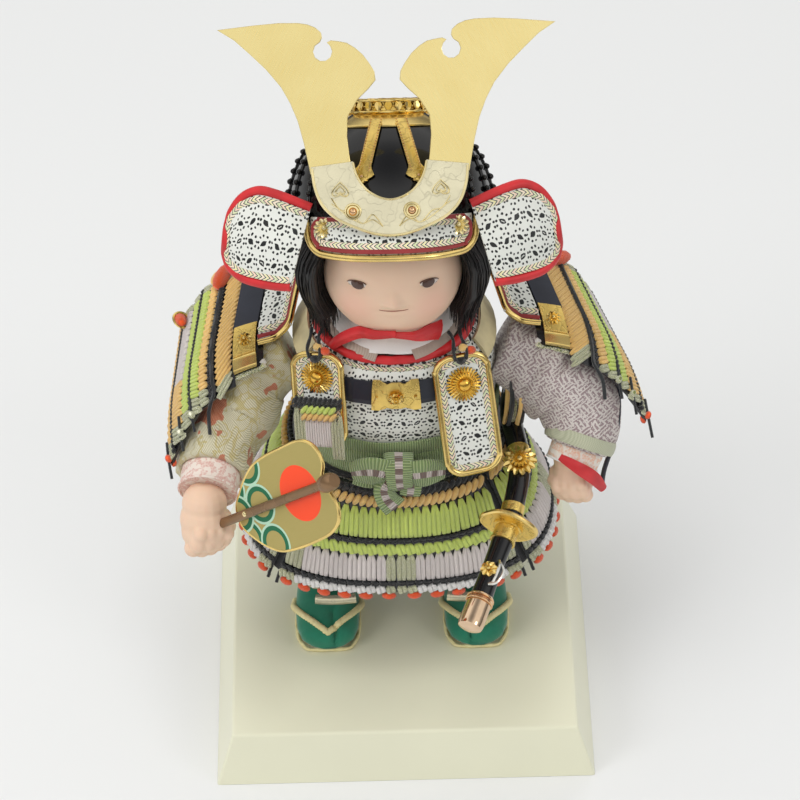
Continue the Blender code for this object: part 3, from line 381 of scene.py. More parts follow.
def frames_along(path, closed=False, up=None):
    """Two axes square to the line at each point, carried along without twisting."""
    count = len(path)
    frames = []
    across = None
    for i in range(count):
        before = path[i - 1] if i or closed else path[0]
        after = path[(i + 1) % count] if i < count - 1 or closed else path[-1]
        along = (after - before).normalized()
        if across is None:
            hint = up[0] if up else Vector((0, 0, 1)) if abs(along.z) < 0.9 else Vector((0, 1, 0))
            across = along.cross(hint)
        if up:
            across = along.cross(up[i])
        across = (across - along * across.dot(along)).normalized()
        frames.append((across, along.cross(across) * -1, along))
    return frames


def rod(bits, path, radius, sides=8, closed=False, tone=0.0, slot=0):
    """A round rod whose radius may change along its path."""
    rows = []
    for i, (p, (x, y, _)) in enumerate(zip(path, frames_along(path, closed))):
        r = radius(i / (len(path) - 1)) if callable(radius) else radius
        rows.append(circle(sides, r, x, y, p))
    if closed:
        rows.append(rows[0])
    return bits.grid(rows, wrap=True, caps=not closed, tone=tone, slot=slot)


def cord(bits, path, radius, pitch, strands=3, sides=12, closed=False, tone=0.0, slot=0):
    """A twisted cord: its section has a lobe for each strand, and turns as it goes."""
    rows = []
    gone = 0.0
    for i, (p, (x, y, _)) in enumerate(zip(path, frames_along(path, closed))):
        if i:
            gone += (p - path[i - 1]).length
        row = []
        for a in around(sides):
            lobe = abs(cos(strands / 2 * (a - 2 * pi * gone / (pitch * strands))))
            r = radius * (0.72 + 0.28 * lobe)
            row.append(p + r * (cos(a) * x + sin(a) * y))
        rows.append(row)
    if closed:
        rows.append(rows[0])
    return bits.grid(rows, wrap=True, caps=not closed, tone=tone, slot=slot)


def faced(path, ups, closed=False):
    """Each point of a strip with its ways across and out."""
    for p, up, (x, _, along) in zip(path, ups, frames_along(path, closed, ups)):
        out = x.cross(along)
        yield p, x, -out if out.dot(up) < 0 else out


def ribbon(bits, path, ups, width, thick, crown=0.0, closed=False, tone=0.0, slot=0):
    """A flat strip along a path, lying square to the given ups."""
    rows = []
    last = len(path) - 1
    for i, (p, x, out) in enumerate(faced(path, ups, closed)):
        half = (width(i / last) if callable(width) else width) / 2
        row = []
        for s, h in ((0, 0), (-1, 0), (-1, thick * 0.7), (-0.5, thick + crown * 0.7), (0, thick + crown),
                     (0.5, thick + crown * 0.7), (1, thick * 0.7), (1, 0)):
            row.append(p + x * (s * half) + out * h)
        rows.append(row)
    if closed:
        rows.append(rows[0])
    return bits.grid(rows, wrap=True, caps=not closed, tone=tone, slot=slot)


def slab(bits, point, across, along, low, high, tone=0.0, slot=0, wrap=False):
    """A sheet of cloth or leather between two offsets of a surface point(a, b, out)."""
    top = [[Vector(point(a, b, high)) for a in across] for b in along]
    under = [[Vector(point(a, b, low)) for a in across] for b in along]
    bits.grid(top, wrap=wrap, tone=tone, slot=slot)
    bits.grid(under, wrap=wrap, tone=tone, slot=slot, flip=True)
    for first, second in ((top[0], under[0]), (under[-1], top[-1])):
        bits.grid([first, second], wrap=wrap, tone=tone, slot=slot, flip=True)
    if not wrap:
        for side in (0, -1):
            a = [r[side] for r in top]
            b = [r[side] for r in under]
            bits.grid([a, b] if side else [b, a], tone=tone, slot=slot)
    return bits


print("mesh helpers ready")

# %% [markdown]
# The room is a flat pale floor under a pale world, with one broad lamp overhead and two at the
# sides. The world is brighter above than below, so that gilt and lacquer have something to mirror.

# %% Room and lamps
def room_light():
    world = bpy.data.worlds.new("room")
    world.use_nodes = True
    bpy.context.scene.world = world
    g = Graph(world.node_tree)
    way = g.add("ShaderNodeTexCoord", out=0)
    height = g.add("ShaderNodeSeparateXYZ", None, {0: way}, out=2)
    tone = g.add("ShaderNodeValToRGB", {"stops": [(0.0, (0.62, 0.6, 0.56)), (0.47, (0.52, 0.5, 0.46)),
                                                  (0.54, (0.16, 0.16, 0.16)), (0.66, (0.42, 0.42, 0.42)),
                                                  (0.74, (1.0, 0.99, 0.96)), (0.92, (0.94, 0.93, 0.91)),
                                                  (1.0, (0.3, 0.3, 0.3))]}, {0: height * 0.5 + 0.5})
    mirrored = g.add("ShaderNodeLightPath", out=3)
    seen = g.add("ShaderNodeLightPath", out=0)
    shown = g.add("ShaderNodeMix", {"data_type": "RGBA"}, {0: mirrored, 6: ROOM_TONE, 7: tone}, out=2)
    shown = g.add("ShaderNodeMix", {"data_type": "RGBA"}, {0: seen, 6: shown, 7: (0.83, 0.83, 0.83, 1.0)},
                  out=2)
    back = world.node_tree.nodes["Background"]
    g.feed(back.inputs["Color"], shown)
    back.inputs["Strength"].default_value = 1.0


ROOM_TONE = (0.6, 0.6, 0.6, 1.0)
LAMPS = (("lamp_over", (-0.25, -0.3, 2.2), 1.5, 16.0), ("lamp_left", (-1.7, -0.9, 1.3), 1.1, 11.0),
         ("lamp_right", (1.8, -1.0, 1.5), 0.7, 5.0), ("lamp_back", (0.3, 1.8, 1.6), 1.0, 5.0))


def lamp(name, at, size, power):
    light = bpy.data.lights.new(name, "AREA")
    light.shape = "DISK"
    light.size = size
    light.energy = power
    thing = placed(name, light)
    aim = (Vector((0, 0, 0.2)) - Vector(at)).to_track_quat("-Z", "Y").to_matrix().to_4x4()
    thing.matrix_world = Matrix.Translation(at) @ aim
    thing.visible_glossy = name == "lamp_right"


def floor():
    paint = Paint("floor_paper", 0.9, specular_ior_level=0.1)
    paint.colour(paint.mix(paint.noise(3.0), (0.8, 0.805, 0.795), (0.815, 0.82, 0.815)))
    bits = Bits()
    edge = spread(-4.0, 4.0, 9)
    bits.grid([[Vector((x, y, -0.0002)) for x in edge] for y in edge])
    thing = bits.make("floor", paint, ride=False)


bpy.context.scene.view_settings.view_transform = "Standard"
room_light()
for row in LAMPS:
    lamp(*row)
floor()
print("lamps:", len(LAMPS))

# %% [markdown]
# Metals first. Gilt fittings are stamped brass: bright, with fine dimples where they are engraved. The horns
# and their holder are a paler gilt, brushed along their length, so their noise is drawn out one way.

# %% Metal finishes
HELMET_AT = Vector((0.0, 0.022, 0.2916))
HELMET_TILT = radians(-37.0)
HELMET = Matrix.Translation(HELMET_AT) @ Matrix.Rotation(HELMET_TILT, 4, "X")
TO_HELMET = {"turned": (-HELMET_TILT, 0.0, 0.0), "origin": tuple(HELMET_AT)}


def gilt(name, colour, rough=0.2, relief=0.0, pitch=1.3, shade=1.0):
    p = Paint(name, rough, 1.0)
    wear = p.noise(90.0, 3.0)
    deep = tuple(c * 0.8 for c in colour)
    p.colour(p.mix(wear.step(0.35, 0.7), deep, colour))
    p.rough(wear * 0.16 + (rough - 0.08))
    if relief:
        curls = abs(p.noise(1000.0 / pitch / 4, 0.6) - 0.5).step(0.0, 0.035)
        dots = p.cells(1000.0 / pitch * 1.5)
        p.colour(p.mix(curls * shade, tuple(c * 0.66 for c in colour),
                       p.mix(wear.step(0.35, 0.7), deep, colour)))
        p.bump(curls * 0.6 - dots.step(0.25, 0.5) * 0.3, relief)
    else:
        p.bump(p.noise(700.0), 0.03, 0.5)
    return p


def brushed(name, colour, turned=0.0):
    """Fine drawn lines in the helmet's own frame."""
    p = Paint(name, 0.28, 1.0)
    x, _, z = p.place(**TO_HELMET)
    across = x * cos(turned) - z * sin(turned)
    down = x * sin(turned) + z * cos(turned)
    lines = p.noise(1.0, 3.0, p.vector(across * 5.0, down * 0.12))
    broad = p.noise(1.0, 1.0, p.vector(across * 0.05, down * 0.04))
    deep = tuple(c * f for c, f in zip(colour, (0.86, 0.8, 0.66)))
    p.colour(p.mix(lines.step(0.3, 0.75) * 0.5 + broad * 0.5, deep, colour))
    p.rough(lines * 0.18 + 0.2)
    p.bump(lines, 0.02, 0.6)
    return p


GILT = gilt("gilt_metal", (0.97, 0.72, 0.26), 0.22)
GILT_ENGRAVED = gilt("gilt_engraved", (0.95, 0.68, 0.2), 0.28, 0.16)
PALE_ENGRAVED = gilt("pale_gilt_engraved", (1.0, 0.93, 0.66), 0.24, 0.06, 1.2, 0.5)
PALE_ENGRAVED.metal(0.65)
PALE_GILT = gilt("pale_gilt", (0.97, 0.83, 0.46), 0.2)
ROSE_GILT = gilt("rose_gilt", (0.88, 0.55, 0.3), 0.16)
MIRROR_GILT = gilt("pommel_gilt", (0.85, 0.62, 0.42), 0.06)
SILVER = gilt("silvered_metal", (0.8, 0.8, 0.76), 0.2)
HORN_RIGHT = brushed("horn_brushed_right", (1.0, 0.86, 0.42), 0.5)
HORN_LEFT = brushed("horn_brushed_left", (1.0, 0.86, 0.42), -0.5)
print("metals ready")

# %% [markdown]
# Lacquer is a deep gloss with a faint ripple. The stand's is a thick cream coat. Bronze paint on the fan's
# stick is satin.

# %% Lacquer and paint
def lacquer(name, colour, rough, ripple=0.02, coat_weight=0.4, coat_roughness=0.05):
    p = Paint(name, rough, coat_weight=coat_weight, coat_roughness=coat_roughness)
    cloud = p.noise(14.0, 3.0)
    p.colour(p.mix(cloud.step(0.3, 0.7), tuple(c * 0.96 for c in colour), colour))
    p.rough(cloud * 0.1 + (rough - 0.05))
    p.bump(p.noise(160.0, 1.0), ripple, 0.4)
    return p


CREAM_LACQUER = lacquer("stand_lacquer", (0.8, 0.79, 0.6), 0.34, 0.01, 0.3, 0.3)
BLACK_LACQUER = lacquer("black_lacquer", (0.004, 0.004, 0.005), 0.1, 0.01, 0.0)
BLACK_IRON = lacquer("black_iron_scales", (0.01, 0.01, 0.012), 0.22)
BRONZE = gilt("stick_bronze", (0.27, 0.16, 0.08), 0.28)
BRONZE.metal(0.55)
print("lacquers ready")

# %% [markdown]
# The white deerskin carries a stencilled pattern: almond leaves with a slit, each in a ring of seeds. Rows
# are staggered, and a little noise bends them, as skin does. The pattern is measured in millimetres.

# %% Leather finishes
LEAF_PITCH = 7.3
LEAF_ROW = 8.4


def leaves(p, u, v):
    """1 in the black of the stencil: almond leaves and seeds at (u, v) in millimetres."""
    bend = p.noise(0.35, 1.0, p.vector(u, v)) - 0.5
    u = u + bend * 1.6
    v = v + bend * 1.1
    row = (v / LEAF_ROW).floor()
    column = (u / LEAF_PITCH).floor()
    odd = (row + column) % 2.0
    x = u % LEAF_PITCH - LEAF_PITCH / 2
    y = v % LEAF_ROW - LEAF_ROW / 2
    lean = odd * 1.5 - 0.75
    a = x * 0.8 + y * lean * 0.8
    b = y * 0.8 - x * lean * 0.8
    leaf = abs(b) < (1.0 - (a * 0.5) * (a * 0.5)) * 1.05
    slit = (abs(b) < 0.16) * (abs(a) < 0.9) * ((column + row * 2.0) % 5.0 < 0.5)
    radius = (x * x + y * y).root()
    turn = y.angle(x) * (9 / (2 * pi)) + odd * 0.5
    away = (turn % 1.0 - 0.5) * (2 * pi / 9 * 3.15)
    seed = ((radius - 3.15) * (radius - 3.15) + away * away) < 0.34
    return (leaf * (1.0 - slit)).most(seed)


def spotted(name, around=None):
    """Stencilled leather by its UV map, or wrapped round the body where around is given."""
    p = Paint(name, 0.5)
    if around:
        x, y, z = p.place()
        u = x.angle(around["middle"] * MM - y) * (around["radius"] * MM)
        v = z
    else:
        u, v = p.laid()
        u = u * 10
        v = v * 10
    ink = leaves(p, u, v)
    grain = p.noise(900.0, 3.0)
    ground = p.mix(p.noise(60.0), (0.7, 0.71, 0.66), (0.78, 0.79, 0.73))
    p.colour(p.mix(ink, ground, (0.01, 0.011, 0.011)))
    p.rough(0.62 - ink * 0.25 + grain * 0.1)
    p.bump(grain * 0.4 + ink * 0.5, 0.05, 0.6)
    return p


def leather(name, colour, rough=0.5):
    p = Paint(name, rough)
    grain = p.noise(700.0, 4.0)
    p.colour(p.mix(p.noise(80.0).step(0.3, 0.7), tuple(c * 0.75 for c in colour), colour))
    p.rough(grain * 0.2 + (rough - 0.1))
    p.bump(grain, 0.06, 0.7)
    return p


SPOTTED = spotted("spotted_leather")
SPOTTED_BODY = spotted("spotted_leather_body", {"middle": 0.02, "radius": 0.05})
NAVY = leather("navy_leather", (0.016, 0.019, 0.032), 0.42)
CREAM_LEATHER = leather("cream_leather", (0.72, 0.62, 0.36), 0.6)
print("leathers ready")

# %% [markdown]
# Silk braid edges every plate: pale thread with dark and dyed chevrons. The strip's UV map says how far
# across and along it a point lies, so the chevrons follow every bend.

# %% Silk finishes
LIME, ROSE, WHITE, MIXED, ORANGE, SCARLET, BLACK, GREEN = range(8)
DYES = ((0.68, 0.82, 0.17), (0.78, 0.71, 0.68), (0.9, 0.88, 0.85), (0.62, 0.6, 0.3), (0.97, 0.62, 0.2),
        (0.88, 0.1, 0.02), (0.012, 0.014, 0.016), (0.3, 0.44, 0.24))


def chevron(name="chevron_braid", ground=(0.84, 0.8, 0.62)):
    p = Paint(name, 0.65)
    u, v = p.laid()
    way = v * 10 / 2.3 + abs(u * 10) * 0.6
    run = way % 1.0
    turn = (way / 4.0) % 1.0
    accent = p.ramp(turn, [(0.0, (0.8, 0.72, 0.22)), (0.25, (0.84, 0.42, 0.34)), (0.5, (0.42, 0.6, 0.2)),
                           (0.75, (0.86, 0.62, 0.5))], sharp=True)
    p.colour(p.mix(run > 0.7, p.mix((run > 0.3) * (run < 0.52), ground, accent), (0.015, 0.015, 0.015)))
    p.bump((run * (2 * pi)).sin() * 0.5 + p.noise(1500.0) * 0.3, 0.12, 0.9)
    return p


def silk():
    """Dyed silk floss: a mesh's tone says which dye, and threads run along each cord."""
    p = Paint("silk_floss", 0.55, sheen_weight=0.35, sheen_roughness=0.4)
    tone = p.flag("tone")
    stops = [((i - 0.5) / 8 if i else 0.0, dye) for i, dye in enumerate(DYES)]
    dye = p.ramp(tone / 8.0, stops, sharp=True)
    u, v = p.laid()
    speck = p.cells(1.0, p.vector(u * 42, v * 9), out=0)
    patch = p.ramp(p.noise(1.0, 1.0, p.vector(u * 11, v * 5)), [
        (0.0, (0.86, 0.85, 0.7)), (0.4, (0.16, 0.19, 0.05)), (0.5, (0.84, 0.82, 0.64)),
        (0.58, (0.5, 0.52, 0.12)), (0.66, (0.84, 0.82, 0.66))], sharp=True)
    mixed = (abs(tone - MIXED) < 0.3)
    base = p.mix(mixed, dye, patch)
    threads = (u * 220 + (v * 30).sin() * 0.4).sin()
    shade = threads * 0.07 + p.noise(1.0, 2.0, p.vector(u * 60, v * 10)) * 0.5 + p.noise(40.0) * 0.2 + 0.76
    p.colour(p.add("ShaderNodeMix", {"data_type": "RGBA", "blend_type": "MULTIPLY"},
                   {0: 1.0, 6: base, 7: p.vector(shade, shade, shade)}, out=2))
    ribs = (v * 105).sin()
    p.bump(threads * 0.35 + ribs * 0.5 + speck * 0.2, 0.14, 0.8)
    return p


SILK = silk()
CHEVRON = chevron()
RED_SILK = leather("red_piping", (0.66, 0.025, 0.03), 0.45)
DARK_RED = leather("dark_red_line", (0.3, 0.03, 0.03), 0.5)
print("silks ready")

# %% [markdown]
# Most of this doll is repetition: hundreds of lace loops, chain stitches, studs and petals. One Geometry
# Nodes tree sets a small link out on points, turned, sized and dyed by what each point carries.

# %% The setting-out tree
def set_out_tree():
    tree = bpy.data.node_groups.new("set_out", "GeometryNodeTree")
    for name, kind in (("Places", "Geometry"), ("Link", "Object"), ("Link Size", "Float"),
                       ("Finish", "Material")):
        tree.interface.new_socket(name, in_out="INPUT", socket_type="NodeSocket" + kind)
    tree.interface.new_socket("Geometry", in_out="OUTPUT", socket_type="NodeSocketGeometry")
    g = Graph(tree)
    given = tree.nodes.new("NodeGroupInput").outputs
    link = g.add("GeometryNodeObjectInfo", None, {"Object": Wire(g, given["Link"])}, "Geometry")
    turn = g.add("GeometryNodeInputNamedAttribute", {"data_type": "FLOAT_VECTOR"}, {"Name": "turn"})
    size = g.add("GeometryNodeInputNamedAttribute", {"data_type": "FLOAT_VECTOR"}, {"Name": "size"})
    size = g.add("ShaderNodeVectorMath", {"operation": "SCALE"},
                 {0: size, "Scale": Wire(g, given["Link Size"])})
    many = g.add("GeometryNodeInstanceOnPoints", None, {"Points": Wire(g, given["Places"]), "Instance": link,
                                                        "Rotation": turn, "Scale": size})
    real = g.add("GeometryNodeRealizeInstances", None, {"Geometry": many})
    done = g.add("GeometryNodeSetMaterial", None, {"Geometry": real, "Material": Wire(g, given["Finish"])})
    tree.links.new(done.socket, tree.nodes.new("NodeGroupOutput").inputs[0])
    return tree


SET_OUT = set_out_tree()


def settled(thing):
    """A new mesh of what the thing's modifiers make."""
    graph = bpy.context.evaluated_depsgraph_get()
    return bpy.data.meshes.new_from_object(thing.evaluated_get(graph), depsgraph=graph)


def set_out(name, places, link, paint, size=1.0, replaces=()):
    """places holds (point, across, outward, (wide, tall, deep), tone) for each link."""
    mesh = bpy.data.meshes.new(name)
    mesh.from_pydata([p[0] for p in places], [], [])
    turns = []
    sizes = []
    for _, across, outward, scale, _ in places:
        z = Vector(outward).normalized()
        x = Vector(across)
        x = (x - z * x.dot(z)).normalized()
        turns.extend(Matrix((x, z.cross(x), z)).transposed().to_euler())
        sizes.extend(scale)
    for key, values in (("turn", turns), ("size", sizes)):
        mesh.attributes.new(key, "FLOAT_VECTOR", "POINT").data.foreach_set("vector", values)
    mesh.attributes.new("tone", "FLOAT", "POINT").data.foreach_set("value", [float(p[4]) for p in places])
    holder = placed(name + "_places", mesh)
    step = holder.modifiers.new("set_out", "NODES")
    step.node_group = SET_OUT
    names = {s.name: s.identifier for s in SET_OUT.interface.items_tree if s.in_out == "INPUT"}
    step[names["Link"]] = link
    step[names["Link Size"]] = float(size)
    step[names["Finish"]] = paint.material
    real = settled(holder)
    real.name = name
    bpy.data.objects.remove(holder, do_unlink=True)
    real.shade_smooth()
    return on_doll(placed(name, real), replaces)


def link_of(bits, name):
    """A hidden master for the tree; its dye comes from the points."""
    thing = bits.make(name, SILK, ride=False, sharp=70)
    thing.data.attributes.remove(thing.data.attributes["tone"])
    thing.hide_render = True
    return thing


def blob(bits, at, size, sides=8, down=5, lean=0.0):
    """A small egg shape, leaning in its own plane."""
    rows = []
    for r in range(1, down):
        t = pi * r / down
        row = []
        for a in around(sides):
            v = Vector((size[0] * sin(t) * cos(a), size[1] * cos(t),
                        size[2] * sin(t) * sin(a)))
            v.rotate(Matrix.Rotation(lean, 3, "Z"))
            row.append(Vector(at) + v)
        rows.append(row)
    bits.grid(rows, wrap=True, caps=True)


def lace_link():
    """Two strands side by side, full in front and drawn together at both ends."""
    bits = Bits()
    for side in (-1, 1):
        rows = []
        for t in spread(0, 1, 9):
            full = min(1.0, 0.36 + 2.6 * t, 0.85 + 1.4 * (1.0 - t)) ** 0.7
            x = side * 0.25 * full
            half = 0.262 * full
            thick = full * min(1.0, 0.35 + 3.0 * t)
            rows.append([Vector((x + half * cos(a), t - 0.5, 0.5 * thick * (0.7 + 0.45 * sin(a)) - 0.1))
                         for a in around(7)])
        bits.grid(rows, wrap=True, caps=True)
    return link_of(bits, "lace_link")


def chain_link():
    bits = Bits()
    blob(bits, (-0.05, 0.22, 0.15), (0.52, 0.26, 0.36), 7, 5, -0.3)
    blob(bits, (0.05, -0.22, 0.15), (0.52, 0.26, 0.36), 7, 5, 0.3)
    return link_of(bits, "chain_link")


def twist_link():
    """One turn of a laid cord: a fat strand lying aslant."""
    bits = Bits()
    blob(bits, (0.0, 0.0, 0.1), (0.38, 0.8, 0.5), 9, 6, -0.85)
    return link_of(bits, "twist_link")


def bead_link():
    bits = Bits()
    blob(bits, (0.0, 0.0, 0.0), (0.5, 0.5, 0.5), 10, 7)
    return link_of(bits, "bead_link")


def petal_link():
    """A petal from the middle outwards along y, hollow in its length."""
    bits = Bits()
    rows = []
    for t in spread(0, 1, 6):
        half = 0.5 * sin(pi * (0.1 + 0.86 * t) ** 1.5) ** 0.7 + 0.03
        rows.append([Vector((half * s, t, h * (0.35 + 0.65 * sin(pi * min(1.0, t + 0.1)))))
                     for s, h in ((-1, 0.0), (-0.75, 0.9), (0.0, 0.35), (0.75, 0.9), (1, 0.0), (0.0, -0.4))])
    bits.grid(rows, wrap=True, caps=True)
    return link_of(bits, "petal_link")


LACE = lace_link()
CHAIN = chain_link()
TWIST = twist_link()
BEAD = bead_link()
PETAL = petal_link()
print("links:", [len(o.data.polygons) for o in (LACE, CHAIN, TWIST, BEAD, PETAL)])

# %% [markdown]
# A rosette is a ring of petals round a button. It is set out by the same tree, so one call can make many.

# %% Rosettes and dressed solids
def rosette(at, outward, radius, petals=16, deep=0.0012, rings=1):
    """Places of the petals and of the button at the middle."""
    z = Vector(outward).normalized()
    x = z.orthogonal().normalized()
    y = z.cross(x)
    leaves_ = []
    for ring in range(rings):
        r = radius * (1 - 0.42 * ring)
        wide = 2 * pi * r / petals * 0.92
        for k in range(petals):
            a = 2 * pi * (k + 0.5 * ring) / petals
            out = x * cos(a) + y * sin(a)
            leaves_.append((Vector(at) + out * r * 0.22 + z * deep * ring, z.cross(-out), z,
                            (wide, r * 0.78, deep), 0.0))
    return leaves_, (Vector(at) + z * deep * 0.8, x, z, (radius * 0.5, radius * 0.5, radius * 0.42), 0.0)


def dressed(node, paint, bevel=0.0002, angle=35, slot=None):
    """A CAD solid's merged copy with rounded edges, standing for the solid."""
    bm = bmesh.new()
    bm.from_mesh(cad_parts[node].data)
    bmesh.ops.remove_doubles(bm, verts=bm.verts, dist=0.00001)
    bmesh.ops.dissolve_limit(bm, angle_limit=radians(1.5), verts=bm.verts, edges=bm.edges)
    mesh = bpy.data.meshes.new(node + "_dressed")
    bm.to_mesh(mesh)
    bm.free()
    mesh.materials.append(paint.material)
    mesh.shade_smooth()
    mesh.set_sharp_from_angle(angle=radians(angle))
    thing = placed(node + "_dressed", mesh)
    step = thing.modifiers.new("edges", "BEVEL")
    step.width = bevel
    step.segments = 2
    step.limit_method = "ANGLE"
    step.angle_limit = radians(angle)
    step.harden_normals = True
    return on_doll(thing, node, slot)


def coat(node, paint):
    """A finish on a CAD solid whose own shape is right."""
    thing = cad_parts[node]
    for place in thing.material_slots:
        place.material = paint.material


def on_surface(point, pairs, out):
    """Points and upward directions at (a, b) pairs of a surface."""
    points = [Vector(point(a, b, out)) for a, b in pairs]
    ups = [(Vector(point(a, b, out + 0.001)) - Vector(point(a, b, out))).normalized() for a, b in pairs]
    return points, ups


coat("stand_base", CREAM_LACQUER)
print("stand lacquered")

# %% [markdown]
# The helmet bowl is black lacquered iron. Its front is smooth, and ribs with rows of round-headed rivets run
# down its sides and back. A gilt collar ringed with petals closes the top, and two gilt strips fall in front.

# %% Helmet bowl
BOWL_R = 0.0515
BOWL_T = 0.0018
BOWL_FOOT = asin(-0.008 / BOWL_R)
TOP_R = 0.0203


def bowl_point(turned, up, out):
    """On the bowl: turned from the front, up from its foot to the crown, in radians."""
    r = BOWL_R + out
    return HELMET @ Vector((r * cos(up) * sin(turned), -r * cos(up) * cos(turned),
                            r * sin(up)))


def helmet_bowl():
    bits = Bits()
    turns = around(72)
    heights = spread(BOWL_FOOT, pi / 2 - 0.02, 20)
    slab(bits, bowl_point, turns, heights, -BOWL_T, 0.0, wrap=True)
    cap = [[bowl_point(t, pi / 2 - 0.02, 0.0) for t in turns],
           [bowl_point(t, pi / 2 - 0.004, 0.0) for t in turns]]
    bits.grid(cap, wrap=True)
    lip = [bowl_point(t, BOWL_FOOT + 0.02, 0.0004) for t in turns]
    rod(bits, lip, 0.0011, closed=True)
    rivets = []
    for k in range(17):
        t = radians(52 + 256 * k / 16)
        line = [bowl_point(t, u, 0.0003) for u in spread(BOWL_FOOT + 0.03, 1.12, 14)]
        rod(bits, line, 0.0008, 6)
        for u in spread(BOWL_FOOT + 0.12, 1.0, 11):
            out = outward(bowl_point, t, u)
            size = 0.0034 * (1 - 0.35 * u)
            rivets.append((bowl_point(t, u, 0.0011), out.orthogonal(), out, (size, size, size), 0.0))
    bits.make("bowl_of_helmet", BLACK_LACQUER, "helmet_bowl", 60, slot="black_lacquer")
    set_out("bowl_rivets", rivets, BEAD, BLACK_LACQUER)


def helmet_ring(radius, height, count):
    return [HELMET @ Vector((radius * sin(a), -radius * cos(a), height)) for a in around(count)]


def bowl_collar():
    coat("bowl_band", GILT_ENGRAVED)
    bits = Bits()
    base = sqrt(BOWL_R ** 2 - TOP_R ** 2) + 0.0004
    for lift, r, thick in ((0.0005, TOP_R + 0.0006, 0.0009), (0.006, TOP_R + 0.0002, 0.0009),
                           (0.0032, TOP_R + 0.0004, 0.0005)):
        cord(bits, helmet_ring(r, base + lift, 64), thick, 0.0012, 3, 8, closed=True)
    bits.make("collar_beading", GILT)
    petals = []
    axis = HELMET.to_3x3() @ Vector((0, 0, 1))
    skirt = []
    for drop in spread(0.0, 0.0062, 5):
        z = base - drop
        skirt.append(helmet_ring(sqrt(BOWL_R ** 2 - z ** 2) + 0.001, z, 96))
    bits = Bits().grid(skirt, wrap=True)
    z = base - 0.0062
    rod(bits, helmet_ring(sqrt(BOWL_R ** 2 - z ** 2) + 0.0008, z, 96), 0.0007, 6, closed=True)
    bits.make("collar_foot", GILT)
    for a in around(26):
        out = HELMET.to_3x3() @ Vector((sin(a), -cos(a), 0))
        at = HELMET @ Vector(((TOP_R + 0.0004) * sin(a), -(TOP_R + 0.0004) * cos(a), base + 0.001))
        petals.append((at, axis.cross(out), out, (0.0046, 0.0048, 0.001), 0.0))
        inner = HELMET @ Vector(((TOP_R - 0.006) * sin(a), -(TOP_R - 0.006) * cos(a), base + 0.003))
        petals.append((inner, axis.cross(-out), axis, (0.0036, 0.0055, 0.0014), 0.0))
    set_out("collar_petals", petals, PETAL, GILT)


helmet_bowl()
bowl_collar()
print("bowl, rivets and collar made")

# %% [markdown]
# The strips, the horn holder and the horns are sheet metal. The CAD solids have their outline, so a merged
# copy with rounded edges takes the finish, and rivets, hearts and rosettes are set on them.

# %% Crest
def helmet_spot(x, z, lift=0.0):
    """On the horn holder's face, from helmet x and z in millimetres."""
    x = x / MM
    return HELMET @ Vector((x, -0.0589 + 2.5 * x * x - 0.0014 - lift, z / MM))


def helmet_way(x, y, z):
    return HELMET.to_3x3() @ Vector((x, y, z))


def strap_width(share):
    """A strap that swells near its foot and ends in a point."""
    swell = max(0.0, 1 - abs(share - 0.8) / 0.1)
    return 0.0062 + 0.0052 * swell - 0.0058 * max(0.0, share - 0.84) / 0.16


